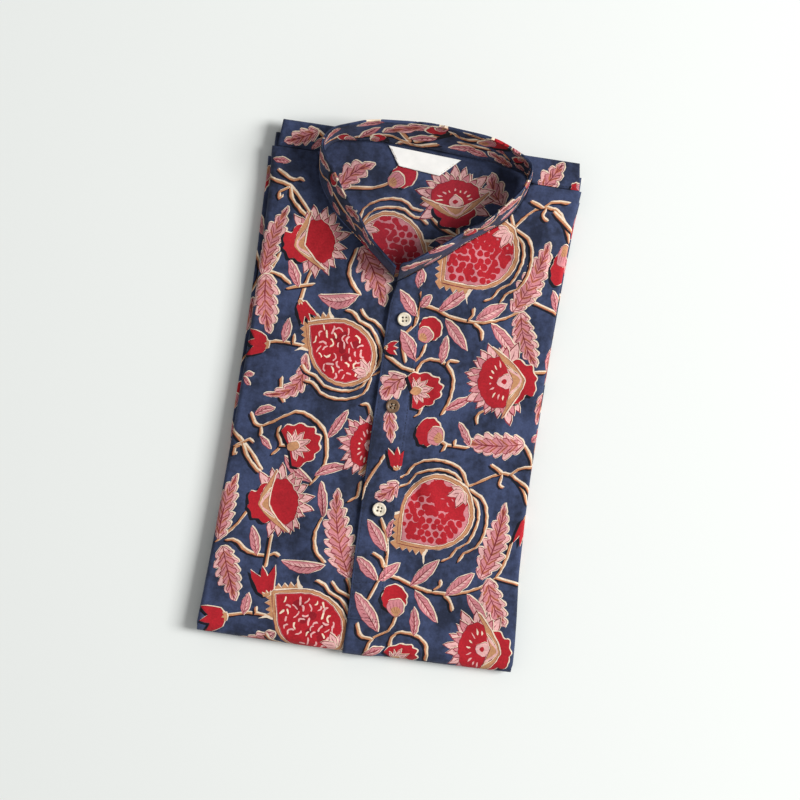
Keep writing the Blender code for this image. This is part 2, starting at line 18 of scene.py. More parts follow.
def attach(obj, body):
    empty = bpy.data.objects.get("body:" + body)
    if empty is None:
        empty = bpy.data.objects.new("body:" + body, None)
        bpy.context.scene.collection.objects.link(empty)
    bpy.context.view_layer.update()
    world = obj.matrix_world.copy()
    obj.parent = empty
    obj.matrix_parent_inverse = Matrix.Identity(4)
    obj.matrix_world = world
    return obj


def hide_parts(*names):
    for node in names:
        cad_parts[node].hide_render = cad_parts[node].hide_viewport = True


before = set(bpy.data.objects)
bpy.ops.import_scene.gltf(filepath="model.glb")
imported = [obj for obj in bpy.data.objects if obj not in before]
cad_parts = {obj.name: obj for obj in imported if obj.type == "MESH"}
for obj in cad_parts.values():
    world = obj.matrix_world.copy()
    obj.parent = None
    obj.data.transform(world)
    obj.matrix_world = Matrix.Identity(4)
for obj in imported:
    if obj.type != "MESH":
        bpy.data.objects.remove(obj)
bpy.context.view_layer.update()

# The folded bundle: the garment's lower half and sleeves, folded in behind the fronts.
# It is cotton cambric in many layers. The sides were folded in first, then the lower half was folded
# up, so each long side shows two rounded folds with a sleeve's edge between them.
CENTRING = np.array([0.0, 0.0023, 0.0])
REST_HEIGHT = 0.0160
SIDE_RADIUS = 0.0039
BOTTOM_FLAT = -0.2160
BOTTOM_RADIUS = 0.0079
# The side folds: at each y, how far the right and the left one reach out
SIDE_FOLDS = (
    (-0.2240, 0.1346, 0.1346),
    (-0.1900, 0.1330, 0.1328),
    (-0.1400, 0.1308, 0.1282),
    (-0.0500, 0.1284, 0.1254),
    (0.0300, 0.1270, 0.1254),
    (0.1050, 0.1276, 0.1268),
    (0.1550, 0.1290, 0.1290),
    (0.1900, 0.1318, 0.1322),
)
TAIL_INSET = 0.0010
TAIL_RADIUS = 0.0027


def smooth(t):
    """0 before 0, 1 after 1, and an even curve between."""
    t = np.clip(t, 0.0, 1.0)
    return t * t * (3 - 2 * t)


def along_rows(rows, place):
    """The rows at places counted from 0, on a smooth curve through a table's rows."""
    rows = np.array(rows, dtype=float)
    i = np.clip(np.floor(place).astype(int), 0, len(rows) - 2)
    t = (place - i)[:, None]
    before, start, end, after = (rows[np.clip(i + step, 0, len(rows) - 1)] for step in (-1, 0, 1, 2))
    slope_in, slope_out, rise = (end - before) / 2, (after - start) / 2, end - start
    bend = 3 * rise - 2 * slope_in - slope_out
    twist = slope_in + slope_out - 2 * rise
    return start + t * (slope_in + t * (bend + t * twist))


def at_height(rows, y, column):
    """A column's value at y, in a table whose rows start with y."""
    ys = np.array([row[0] for row in rows])
    y = np.clip(y, ys[0], ys[-1])
    i = np.clip(np.searchsorted(ys, y, side="right") - 1, 0, len(ys) - 2)
    return along_rows(rows, i + (y - ys[i]) / (ys[i + 1] - ys[i]))[:, column]


def linear(code):
    """The linear colour of a six-digit sRGB code."""
    parts = [int(code[i : i + 2], 16) / 255 for i in (0, 2, 4)]
    return [c / 12.92 if c <= 0.04045 else ((c + 0.055) / 1.055) ** 2.4 for c in parts] + [1.0]


# The printed cotton that every sheet is cut from: cambric, printed by hand with a wood block for each dye.
# A resist kept the pale edges out of the indigo bath. Its motifs are drawn here as outlines in millimetres,
# one over another in the order of printing.
DYES = {
    "indigo": linear("2F3853"),
    "dark": linear("0C0D18"),
    "resist": linear("EAD6BE"),
    "line": linear("7E2A34"),
    "tan": linear("BF8A62"),
    "rust": linear("9C4A30"),
    "pink": linear("C98086"),
    "blush": linear("E1ACA9"),
    "red": linear("AC1A26"),
    "crimson": linear("8A111E"),
    "clay": linear("BA7150"),
    "label": linear("F7F6F2"),
}
# How far the dark and the resist blocks land off the others
SHADOW_OFFSET = (-2.0, -1.8)
RESIST_OFFSET = (0.55, 0.46)


def through(points, closed=False, step=1.5):
    """Points about step apart on a smooth line through these points."""
    points = np.array(points, dtype=float).reshape(-1, 2)
    if closed:
        ring = np.vstack([points[-1:], points, points[:2]])
    else:
        ring = np.vstack([2 * points[:1] - points[1:2], points, 2 * points[-1:] - points[-2:-1]])
    line = []
    for a, b, c, d in zip(ring, ring[1:], ring[2:], ring[3:]):
        count = max(1, round(math.dist(b, c) / step))
        t = np.arange(count)[:, None] / count
        bend = a - 2.5 * b + 2 * c - d / 2
        twist = (d - a) / 2 + 1.5 * (b - c)
        line.append(b + t * ((c - a) / 2 + t * (bend + t * twist)))
    return np.vstack(line if closed else line + [points[-1:]])


def grown(outline, distance):
    """A closed outline moved outwards by a distance."""
    way = np.roll(outline, -1, axis=0) - np.roll(outline, 1, axis=0)
    way /= np.linalg.norm(way, axis=1)[:, None] + 1e-9
    turn = math.copysign(1.0, signed_area(outline))
    return outline + turn * distance * np.column_stack([way[:, 1], -way[:, 0]])


def signed_area(outline):
    """A closed outline's area, above 0 where it runs anticlockwise."""
    x, y = outline[:, 0], outline[:, 1]
    return float(np.sum(x * np.roll(y, -1) - np.roll(x, -1) * y)) / 2


def stroke(line, width, taper=0.75):
    """The outline of a brush stroke along a line, narrowed at its ends."""
    way = np.gradient(line, axis=0)
    way /= np.linalg.norm(way, axis=1)[:, None] + 1e-9
    side = np.column_stack([-way[:, 1], way[:, 0]])
    steps = np.arange(len(line))
    half = width / 2 * np.clip(np.minimum(steps, steps[::-1]) * taper + 0.35, 0, 1)
    return np.vstack([line + side * half[:, None], (line - side * half[:, None])[::-1]])


def inked(shapes, outline, dye, line=0.26, shadow=False, halo=0.45):
    """A block-printed shape: the resist's pale edge, the outline block and the fill, each a little off."""
    if shadow:
        shapes.append((grown(outline, 0.45) + SHADOW_OFFSET, "dark"))
    shapes.append((grown(outline, halo) + RESIST_OFFSET, "resist"))
    shapes.append((grown(outline, line), "line"))
    shapes.append((outline, dye))


def lens(x0, y0, x1, y1, width, bend=0.0, count=9, blunt=0.85):
    """The outline of a pointed leaf or petal from its foot to its tip."""
    t = np.linspace(0, 1, count)
    dx, dy = x1 - x0, y1 - y0
    length = math.hypot(dx, dy)
    side = np.array([-dy, dx]) / length
    spine = np.array([x0, y0]) + t[:, None] * (dx, dy) + (4 * bend * length * t * (1 - t))[:, None] * side
    half = (width / 2 * np.sin(np.pi * t**blunt) ** 0.85)[:, None]
    left, right = spine + side * half, spine - side * half
    return spine, side, half[:, 0], np.vstack([spine[:1], right[1:-1], spine[-1:], left[-2:0:-1]])


def leaf(shapes, x0, y0, x1, y1, width, bend=0.0):
    """A small leaf, pale along one half, with a midrib and a ladder of fine veins."""
    count = 2 * max(5, round(math.hypot(x1 - x0, y1 - y0) / 3.8)) + 1
    spine, side, half, outline = lens(x0, y0, x1, y1, 0.86 * width, bend, count, 0.95)
    inked(shapes, outline, "pink", 0.42, halo=0.85)
    pale = np.vstack([spine, (spine - side * half[:, None] * 0.55)[::-1]])
    shapes.append((pale, "blush"))
    shapes.append((stroke(spine[:-1], 0.70), "line"))
    for i in range(1, count - 4, 2):
        for hand in (1, -1):
            end = spine[i + 2] + side * hand * half[i + 2] * 0.72
            shapes.append((stroke(np.linspace(spine[i], end, 3), 0.50, 0.9), "line"))


def fern(shapes, x0, y0, x1, y1, width, bend=0.0):
    """A long leaf with rounded lobes, pale at its edge, brown along its middle and veined to every lobe."""
    length = math.hypot(x1 - x0, y1 - y0)
    lobes = max(3, round(length / 8.2))
    count = lobes * 8 + 1
    spine, side, half, _ = lens(x0, y0, x1, y1, width, bend, count, 0.78)
    half = half * 0.84 + width * 0.12 * np.linspace(1, 0, count)
    ahead = np.gradient(spine, axis=0)
    ahead /= np.linalg.norm(ahead, axis=1)[:, None]
    lobe = np.array([0.62, 0.80, 0.95, 1.05, 1.10, 1.08, 0.98, 0.80])
    rng = random.Random(f"{x0} {y1}")
    edges = []
    for hand in (1, -1):
        reach = np.append(np.concatenate([lobe * rng.uniform(0.84, 1.12) for _ in range(lobes)]), 0.2)
        lean = (np.append(np.tile(lobe, lobes), 0.62) - 0.62) * half * 0.62
        edges.append(spine + side * (hand * half * reach)[:, None] + ahead * lean[:, None])
    outline = np.vstack([edges[0][::-1], edges[1]])
    inked(shapes, outline, "blush", 0.42, halo=0.95)
    middle = (np.append(np.tile(lobe, lobes), 0.62) * 0.66 * half)[:, None]
    lean = ahead * half[:, None] * 0.2
    for share, dye in ((1.0, "line"), (0.9, "pink")):
        reach = side * (middle * share)
        left, right = spine + reach + lean, spine - reach + lean
        shapes.append((np.vstack([left[3:-4][::-1], right[3:-4]]), dye))
    for i in range(0, count - 7, 4):
        for hand in (1, -1):
            far = min(i + 7, count - 1)
            tip = spine[far] + side * hand * half[far] * (0.62 if i % 8 else 0.9)
            bow = (spine[i] + tip) / 2 + ahead[i] * half[i] * 0.08
            line = through([*spine[i], *bow, *tip], step=2.0)
            if i % 8:
                shapes.append((stroke(line, 1.55), "clay"))
                shapes.append((stroke(line - side * hand * 0.1, 0.55), "line"))
            else:
                shapes.append((stroke(line, 0.60, 0.9), "line"))
    shapes.append((stroke(spine[:-2:3], 0.80), "line"))


def stem(shapes, *places, width=1.55):
    """A stem in tan, with the pale resist showing along one side."""
    line = through(places, step=1.8)
    shapes.append((stroke(line - (1.65, 1.50), width + 0.5), "dark"))
    shapes.append((stroke(line + (0.90, 0.78), width + 0.35), "resist"))
    shapes.append((stroke(line - (0.28, 0.25), width + 0.15), "rust"))
    shapes.append((stroke(line, width - 0.2), "tan"))


def local_frame(x0, y0, x1, y1):
    """A function that turns (along, across) shares of an axis's length and of a half width into places."""
    start, axis = np.array([x0, y0], dtype=float), np.array([x1 - x0, y1 - y0], dtype=float)
    side = np.array([-axis[1], axis[0]]) / np.linalg.norm(axis)

    def place(points, half_width):
        points = np.array(points, dtype=float)
        return start + points[:, :1] * axis + points[:, 1:] * side * half_width

    return place


def bud(shapes, x0, y0, x1, y1, width):
    """A round red bud with a scalloped edge, sitting in a small pale cup with fine lines."""
    place = local_frame(x0, y0, x1, y1)
    angles = np.radians(np.linspace(-146, 146, 31))
    dome = [(0.54 + 0.48 * math.cos(a), (0.94 + 0.06 * math.cos(9 * a)) * math.sin(a)) for a in angles]
    dome = [(a, b * (0.66 + 0.34 * smooth((a + 0.1) / 0.5))) for a, b in dome]
    inked(shapes, place(dome, width / 2), "red", shadow=True, halo=0.8)
    cup = [(-0.10, 0.0), (0.0, 0.42), (0.22, 0.62), (0.44, 0.46), (0.50, 0.0)]
    cup += [(a, -b) for a, b in reversed(cup[1:-1])]
    inked(shapes, through(place(cup, width / 2), True, 1.4), "pink", 0.4, halo=0.8)
    foot = place([(a * 0.55 - 0.04, b * 0.6) for a, b in cup], width / 2)
    shapes.append((through(foot, True, 1.2), "tan"))
    for b in (-0.36, -0.12, 0.12, 0.36):
        shapes.append((stroke(place([(0.02, b * 0.3), (0.22, b), (0.42, b * 1.1)], width / 2), 0.4), "line"))


def tulip(shapes, x0, y0, x1, y1, width):
    """A red flower with three pointed petals, seen from the side."""
    place = local_frame(x0, y0, x1, y1)
    petals = [(-0.02, 0.12), (0.16, 0.62), (0.42, 0.80), (0.70, 0.96), (1.0, 1.02), (0.80, 0.62)]
    petals += [(0.66, 0.30), (0.84, 0.16), (1.06, 0.0)]
    petals += [(a, -b) for a, b in reversed(petals[:-1])]
    inked(shapes, place(petals, width / 2), "red", shadow=True)
    cup = [(-0.08, 0.0), (-0.04, 0.26), (0.10, 0.34), (0.04, 0.10), (0.16, 0.0)]
    cup += [(a, -b) for a, b in reversed(cup[1:-1])]
    inked(shapes, place(cup, width / 2), "tan", 0.2)


def fan_petals(shapes, heart, angles, reach, inner, width, dye="pink"):
    """Pointed petals round a point, their tips left pale. reach gives how far each goes, at its angle."""
    for angle in angles:
        out = np.array([math.cos(angle), math.sin(angle)])
        foot, tip = heart + out * reach(angle) * inner, heart + out * reach(angle)
        spine, _, _, outline = lens(*foot, *tip, width * reach(angle), 0.0, 7, 0.72)
        shapes.append((grown(outline, 0.45) + (0.3, 0.26), "resist"))
        shapes.append((grown(outline, 0.22), "line"))
        shapes.append((foot + (outline - foot) * 0.93, dye))
        shapes.append((stroke(spine[1:-2], 0.55), "line"))


def lotus(shapes, x0, y0, x1, y1, width, eyed=0):
    """An open lotus seen from the side: pointed petals, a red heart, a red cup and a sash between them."""
    place = local_frame(x0, y0, x1, y1)
    length = math.hypot(x1 - x0, y1 - y0)
    facing = math.atan2(y1 - y0, x1 - x0)
    half = 0.56 * width
    heart = place([(0.46, 0.0)], 1)[0]
    rng = random.Random(f"{x0} {y0}")

    def reach(angle):
        turn = angle - facing
        return rng.uniform(0.86, 1.08) / math.hypot(math.cos(turn) / (0.56 * length), math.sin(turn) / half)

    for span, count, share, dye in ((116, 13, 1.0, "blush"), (106, 12, 0.84, "pink")):
        for angle in facing + np.radians(np.linspace(-span, span, count)):
            angle += rng.uniform(-0.06, 0.06)
            far = share * reach(angle)
            fan_petals(shapes, heart, [angle], lambda _: far, 0.34, 0.27, dye)
    cup = [(0.36, 0.44), (0.27, 0.54), (0.19, 0.46), (0.14, 0.36), (0.05, 0.40), (0.0, 0.24), (0.0, 0.08)]
    cup += [(-0.03, 0.0), (0.01, -0.14), (0.03, -0.32), (0.12, -0.34), (0.18, -0.48), (0.28, -0.46)]
    cup += [(0.36, -0.36)]
    inked(shapes, through(place(cup, half), True, 1.6), "red", shadow=True, halo=0.6)
    core = [(0.30, 0.0), (0.32, 0.30), (0.42, 0.56), (0.55, 0.60), (0.67, 0.52), (0.74, 0.30), (0.79, 0.0)]
    core += [(a, -b) for a, b in reversed(core[1:-1])]
    core = through(place(core, half), True, 1.4)
    centre = core.mean(axis=0)
    ripple = 1 + 0.022 * np.cos(np.arctan2(*(core - centre).T[::-1]) * 16)
    inked(shapes, centre + (core - centre) * ripple[:, None], "red", 0.5, halo=0.2)
    if eyed:
        for turn in np.radians(np.linspace(-84, 84, 9)):
            near, far = rng.uniform(0.72, 0.85), rng.uniform(1.0, 1.3)
            out = [(0.44 + 0.19 * k * math.cos(turn), 0.42 * k * math.sin(turn)) for k in (near, far)]
            shapes.append((lens(*place(out, half).ravel(), 1.5, 0.0, 5)[3], rng.choice(("resist", "blush"))))
        kite = through(place([(0.31, 0.0), (0.40, 0.17), (0.53, 0.0), (0.40, -0.17)], half), True, 1.4)
        inked(shapes, kite, "blush", 0.35, halo=0.5)
        for hand in (1, -1):
            foot, tip = place([(0.34, hand * 0.08), (0.40, hand * 0.50)], half)
            shapes.append((lens(*foot, *tip, 3.4, 0.1 * hand, 7)[3], "blush"))
            shapes.append((stroke(np.linspace(foot, tip, 5)[:4], 0.4), "line"))
        eye = through(place([(0.385, 0.0), (0.42, 0.07), (0.465, 0.0), (0.42, -0.07)], half), True, 1.2)
        shapes.append((eye, "red"))
    sash = [(0.50, 0.86), (0.43, 0.60), (0.37, 0.34), (0.32, 0.10), (0.30, -0.06), (0.36, -0.30)]
    sash += [(0.44, -0.56), (0.56, -0.84), (0.43, -0.66), (0.31, -0.44), (0.20, -0.18), (0.15, 0.02)]
    sash += [(0.22, 0.28), (0.33, 0.52)]
    inked(shapes, through(place(sash, half), True, 1.6), "tan", 0.45, halo=0.9)
    for b, dye, wide in ((0.42, "resist", 1.5), (0.42, "line", 0.4), (0.30, "blush", 1.6)):
        bow = through(place([(0.30 + b * 0.2, b), (0.19, 0.0), (0.30 + b * 0.2, -b)], half), step=1.8)
        shapes.append((stroke(bow, wide), dye))


def carnation(shapes, x0, y0, x1, y1, width):
    """A fan-shaped flower: scalloped red with a pale pink star over its foot."""
    place = local_frame(x0, y0, x1, y1)
    length = math.hypot(x1 - x0, y1 - y0)
    facing = math.atan2(y1 - y0, x1 - x0)
    angles = np.radians(np.linspace(-105, 105, 43))
    rim = [
        (math.cos(a) * (0.93 + 0.06 * math.cos(12 * a)), math.sin(a) * (0.95 + 0.05 * math.cos(12 * a)))
        for a in angles
    ]
    inked(shapes, place([(-0.12, 0.0)] + rim, width / 2), "red", shadow=True, halo=0.8)
    heart = np.array([x0, y0], dtype=float) - 0.04 * np.array([x1 - x0, y1 - y0])

    def reach(angle):
        turn = angle - facing
        return 0.66 / math.hypot(math.cos(turn) / length, math.sin(turn) / (0.55 * width))

    fan_petals(shapes, heart, facing + np.radians((-92, -62, 62, 92)), reach, 0.1, 0.30, "blush")
    fan_petals(shapes, heart, facing + np.radians((-32, 32, 0)), reach, 0.1, 0.34, "blush")
    cup = [(-0.22, 0.0), (-0.10, 0.20), (0.12, 0.16), (0.20, 0.0), (0.12, -0.16), (-0.10, -0.20)]
    inked(shapes, through(place(cup, width / 2), True, 1.2), "tan", 0.3)


def inside(outline, spots):
    """Which of the spots lie inside a closed outline, also where the outline crosses itself."""
    order = np.argsort(spots[:, 1])
    across, up = spots[order].T
    turns = np.zeros(len(spots), dtype=int)
    for (x0, y0), (x1, y1) in zip(outline, np.roll(outline, -1, axis=0)):
        first, last = np.searchsorted(up, (min(y0, y1), max(y0, y1)))
        if last > first:
            left = across[first:last] < x0 + (up[first:last] - y0) / (y1 - y0) * (x1 - x0)
            turns[first:last] += left if y1 > y0 else -left.astype(int)
    found = np.zeros(len(spots), dtype=bool)
    found[order] = turns != 0
    return found


def pomegranate(shapes, x0, y0, x1, y1, width, ripe=0):
    """A pomegranate cut open: round, with a jagged crown at one corner and wavy tendrils at its stem.

    ripe is 1 where the seeds have run together.
    """
    place = local_frame(x1, y1, x0, y0)
    half = width / 2
    length = math.hypot(x1 - x0, y1 - y0)
    rng = random.Random(f"{x0} {y0}")
    tendrils = (
        ((1.0, 0.02), (1.0, 0.50), (0.92, 0.88), (0.78, 1.14), (0.64, 1.28), (0.50, 1.22), (0.38, 1.30),
         (0.28, 1.22)),
        ((1.03, 0.04), (1.08, 0.56), (1.00, 1.02), (0.85, 1.38), (0.68, 1.54), (0.54, 1.46), (0.42, 1.56)),
    )
    for row in tendrils:
        for hand in (1, -1):
            stem(shapes, place([(a, b * hand) for a, b in row], half), width=1.3)
    side = [(0.0, 0.0), (0.11, 0.33), (0.22, 0.64), (0.34, 0.90), (0.47, 1.03), (0.61, 1.07), (0.75, 0.99)]
    side = through(place(side + [(0.87, 0.78), (0.96, 0.42), (1.01, 0.04)], half), step=2.0)
    axis = (place([(1.0, 0.0)], half) - place([(0.0, 0.0)], half))[0] / length
    foot_on_axis = place([(0.0, 0.0)], half)[0]
    along = ((side - foot_on_axis) @ axis)[:, None] * axis
    rind = np.vstack([side, (2 * (foot_on_axis + along) - side)[:0:-1]])
    middle = place([(0.54, 0.0)], half)[0]
    crown = []
    for hand in (1, -1):
        arm = []
        for n, t in enumerate(np.linspace(0.95, 0.0, 10)):
            out = rng.uniform(5.0, 6.4) if n % 2 else rng.uniform(1.6, 2.4)
            arm.append((0.24 * t - 0.72 * out / length, hand * (0.70 * t + 0.66 * out / half)))
        crown += arm if hand > 0 else arm[::-1]
    crown += [(0.26, -0.60), (0.36, 0.0), (0.26, 0.60)]
    inked(shapes, place(crown, half), "tan", 0.35, halo=0.9)
    for hand in (1, -1):
        foot, tip = place([(0.26, hand * 0.68), (0.10, hand * 1.0)], half)
        shapes.append((lens(*foot, *tip, 2.4, hand * 0.16)[3], "resist"))
    inked(shapes, rind, "tan", 0.4, halo=0.9)
    for share, dye in ((0.935, "rust"), (0.92, "resist"), (0.90, "line"), (0.885, "pink")):
        shapes.append((middle + (rind - middle) * share, dye))
    field = middle + (rind - middle) * 0.875

    def disc(spot, size, dye, count=9):
        """A round spot with a few corners, as a block prints it."""
        angles = rng.uniform(0, 1) + np.radians(np.linspace(0, 360, count, endpoint=False))
        ring = [(math.cos(a), math.sin(a)) for a in angles]
        shapes.append((spot + size * np.array(ring), dye))

    def seed_places(reach, pitch, rise, wander):
        """Places in staggered rows over the cut face, each with its distance from the rind."""
        for row in range(-reach, reach + 1):
            for column in range(-reach, reach + 1):
                off = (rng.uniform(-wander, wander), rng.uniform(-wander, wander))
                spot = middle + ((column + row % 2 / 2) * pitch, row * rise) + off
                if inside(field, spot[None])[0]:
                    yield spot, np.min(np.linalg.norm(field - spot, axis=1))

    if ripe:
        shapes.append((field, "red"))
        for _ in range(9):
            spot = middle + (rng.uniform(-0.6, 0.6) * half, rng.uniform(-0.6, 0.6) * half)
            disc(spot, rng.uniform(2.0, 4.0), "crimson", 7)
        for spot, gap in seed_places(5, 6.6, 5.6, 1.4):
            if gap < 2.6 or rng.random() < 0.12:
                continue
            turn = rng.uniform(0.9, 2.2) if rng.random() < 0.7 else rng.uniform(-0.6, 0.9)
            way = np.array([math.cos(turn), math.sin(turn)]) * rng.uniform(1.8, 3.2)
            bow = np.array([-way[1], way[0]]) * rng.uniform(-0.6, 0.6)
            hook = spot + way * 1.3 - bow
            line = through([*(spot - way), *(spot + bow), *(spot + way), *hook], step=1.1)
            shapes.append((stroke(line, rng.uniform(1.1, 1.7)), rng.choice(("resist", "blush", "blush"))))
    else:
        spots = []
        for spot, gap in seed_places(6, 6.2, 5.5, 0.8):
            if gap > 1.2:
                disc(spot, min(rng.uniform(2.75, 3.15), gap + 0.4), "red")
                spots.append(spot)
        for i, a in enumerate(spots):
            for b in spots[i + 1 :]:
                late = (a + b - 2 * middle) @ (place([(1.0, 0.35)], half)[0] - middle) > 0.1 * length**2
                if math.dist(a, b) < 7.6 and rng.random() < (0.85 if late else 0.14):
                    shapes.append((stroke(np.linspace(a, b, 4), 4.4, 2.0), "red"))
    foot = place([(0.955, 0.0)], half)[0]
    back = math.atan2(*(middle - foot)[::-1])
    for turn, share in ((-62, 0.20), (62, 0.20), (-24, 0.26), (26, 0.27)):
        fan_petals(shapes, foot, [back + math.radians(turn)], lambda _: share * width, 0.0, 0.46, "blush")


# Each motif's turn in the printing, and how it is drawn
MOTIFS = {
    "stem": (0, stem),
    "fern": (1, fern),
    "leaf": (2, leaf),
    "pomegranate": (3, pomegranate),
    "bud": (4, bud),
    "tulip": (4, tulip),
    "carnation": (5, carnation),
    "lotus": (6, lotus),
}


def thinned(outline, slack=0.07):
    """An outline without the points that lie within slack of the line between their neighbours."""
    for start in (0, 1):
        before = np.roll(outline, 1, axis=0)
        chord, reach = np.roll(outline, -1, axis=0) - before, outline - before
        aside = chord[:, 0] * reach[:, 1] - chord[:, 1] * reach[:, 0]
        needless = np.abs(aside) < slack * np.linalg.norm(chord, axis=1)
        needless[start::2] = False
        if len(outline) - needless.sum() > 3:
            outline = outline[~needless]
    return outline


def hand_printed(outline):
    """An outline as a hand-cut block prints it, its edge wandering by a few tenths of a millimetre."""
    x, y = outline[:, 0], outline[:, 1]
    aside = 0.30 * np.sin(0.85 * y + 0.4 * x) + 0.11 * np.sin(2.3 * y - 0.9 * x)
    ahead = 0.30 * np.sin(0.80 * x - 0.3 * y) + 0.11 * np.sin(2.1 * x + 1.1 * y)
    return outline + np.column_stack([aside, ahead])


def drawn(rows):
    """The printed shapes of a table of motifs, each row a motif's name, places and sizes in millimetres."""
    shapes = []
    for name, *numbers in sorted(rows, key=lambda row: MOTIFS[row[0]][0]):
        MOTIFS[name][1](shapes, *numbers)
    return [(hand_printed(thinned(outline)), dye) for outline, dye in shapes]


def on_lattice(outline, columns, rows, least):
    """A closed outline with a point where each line of the lattice crosses it, none closer than least."""
    rim = []
    for a, b in zip(outline, np.roll(outline, -1, axis=0)):
        shares = [0.0]
        for axis, lines in ((0, columns), (1, rows)):
            if abs(b[axis] - a[axis]) > 1e-9:
                at = (lines - a[axis]) / (b[axis] - a[axis])
                shares += list(at[(at > 0) & (at < 1)])
        length = math.dist(a, b)
        last = None
        for share in sorted(shares):
            if last is None or ((share - last) * length > least and (1 - share) * length > least):
                rim.append(a + share * (b - a))
                last = share
    return np.array(rim)


def edge_distance(rim, spots):
    """How far each place lies from a closed outline's edge."""
    nearest = np.full(len(spots), np.inf)
    for a, b in zip(rim, np.roll(rim, -1, axis=0)):
        share = np.clip((spots - a) @ (b - a) / max(np.sum((b - a) ** 2), 1e-12), 0, 1)
        nearest = np.minimum(nearest, np.linalg.norm(a + share[:, None] * (b - a) - spots, axis=1))
    return nearest


def printed_sheet(
    name, outline, columns, rows, place, shapes, wall, material, rounding=0.0, ground="indigo"
):
    """A sheet cut along its outline and each printed shape, every face with its dye, then laid in place.

    outline, columns, rows, shapes and rounding are flat, in millimetres. place turns flat metres into where
    the cloth lies. rounding is how far in from the edge a folded edge starts to round.
    """
    if signed_area(outline) < 0:
        outline = outline[::-1]
    least = 0.4 * min(np.min(np.diff(columns)), np.min(np.diff(rows)))
    rim = on_lattice(outline, columns, rows, least)
    low, high = rim.min(axis=0), rim.max(axis=0)
    lattice = np.array([(u, v) for u in columns for v in rows])
    lattice = lattice[inside(rim, lattice)]
    lattice = lattice[edge_distance(rim, lattice) > max(least, 1.3 * rounding)]
    inner_rims = [grown(rim, -rounding * share) for share in (0.12, 0.45, 1.0)] if rounding else []
    points, faces, printed = [rim, lattice, *inner_rims], [list(range(len(rim)))], []
    count = sum(map(len, points))
    for shape, dye in shapes:
        shape = shape[np.linalg.norm(shape - np.roll(shape, 1, axis=0), axis=1) > 0.02]
        if len(shape) < 3 or (shape.max(axis=0) < low).any() or (shape.min(axis=0) > high).any():
            continue
        points.append(shape)
        faces.append(list(range(count, count + len(shape))))
        printed.append((shape, dye))
        count += len(shape)
    flat = [Vector(p) for p in np.vstack(points)]
    flat, _, pieces, _, _, _ = delaunay_2d_cdt(flat, [], faces, 0, 0.004, False)
    flat, pieces = np.array([tuple(p) for p in flat]), np.array([list(piece) for piece in pieces])
    pieces = pieces[inside(rim, flat[pieces].mean(axis=1))]
    pieces = pieces[np.argsort(flat[pieces, 0].mean(axis=1))]
    middles = flat[pieces].mean(axis=1)
    dyes = np.tile(DYES[ground], (len(pieces), 1))
    for shape, dye in printed:
        left, right = np.searchsorted(middles[:, 0], (shape[:, 0].min(), shape[:, 0].max()))
        across = middles[left:right, 1]
        near = left + np.flatnonzero((across > shape[:, 1].min()) & (across < shape[:, 1].max()))
        dyes[near[inside(shape, middles[near])]] = DYES[dye]
    used, pieces = np.unique(pieces, return_inverse=True)
    flat = flat[used] / 1000
    laid = place(flat[:, 0], flat[:, 1]) + CENTRING
    mesh = bpy.data.meshes.new(name)
    mesh.from_pydata(laid.tolist(), [], pieces.reshape(-1, 3).tolist())
    if rounding:
        normals = np.empty(3 * len(laid), dtype=np.float32)
        mesh.vertices.foreach_get("normal", normals)
        gap = np.clip(edge_distance(rim, flat * 1000) / rounding, 0, 1)
        laid -= normals.reshape(-1, 3) * (rounding / 1000 * (1 - np.sqrt(1 - (1 - gap) ** 2)))[:, None] * 0.9
        mesh.vertices.foreach_set("co", laid.astype(np.float32).ravel())
    dye_layer = mesh.attributes.new("dye", "FLOAT_COLOR", "FACE")
    dye_layer.data.foreach_set("color", dyes.astype(np.float32).ravel())
    threads = np.column_stack([flat, np.zeros(len(flat))]).astype(np.float32)
    thread_layer = mesh.attributes.new("threads", "FLOAT_VECTOR", "POINT")
    thread_layer.data.foreach_set("vector", threads.ravel())
    mesh.shade_smooth()
    mesh.materials.append(material)
    sheet = bpy.data.objects.new(name, mesh)
    bpy.context.scene.collection.objects.link(sheet)
    thickness = sheet.modifiers.new("Cloth thickness", "SOLIDIFY")
    thickness.thickness = wall
    thickness.offset = -1
    return sheet, abs(signed_area(rim)) * 1e-6, (high - low) / 1000


def node(tree, kind, inputs=(), **settings):
    """A shader node with its inputs linked or set."""
    made = tree.nodes.new(kind)
    for key, value in settings.items():
        setattr(made, key, value)
    for key, value in dict(inputs).items():
        if isinstance(value, bpy.types.NodeSocket):
            tree.links.new(value, made.inputs[key])
        else:
            made.inputs[key].default_value = value
    return made


def noise(tree, place, scale, detail):
    """A soft random pattern over a surface."""
    inputs = {"Vector": place, "Scale": scale, "Detail": detail}
    return node(tree, "ShaderNodeTexNoise", inputs).outputs["Fac"]


def drawn_out(tree, place, *scale):
    """Places scaled each way by its own number, so that a pattern over them runs one way."""
    return node(tree, "ShaderNodeMapping", {"Vector": place, "Scale": scale}).outputs[0]


def ranged(tree, value, low, high, least, most):
    """A value that goes from least to most while another goes from low to high."""
    return node(tree, "ShaderNodeMapRange", {0: value, 1: low, 2: high, 3: least, 4: most}).outputs[0]


def worked_out(tree, operation, *values):
    """The result of one step of arithmetic."""
    return node(tree, "ShaderNodeMath", dict(enumerate(values)), operation=operation).outputs[0]


def started(name):
    """A new material, its node tree and its shader."""
    material = bpy.data.materials.new(name)
    material.use_nodes = True
    return material, material.node_tree, material.node_tree.nodes["Principled BSDF"]


def coloured(tree, colour, share):
    """The shader's base colour: a colour made lighter or darker by a pattern."""
    uneven = node(tree, "ShaderNodeVectorMath", {0: colour, "Scale": share}, operation="SCALE").outputs[0]
    tree.links.new(uneven, tree.nodes["Principled BSDF"].inputs["Base Color"])


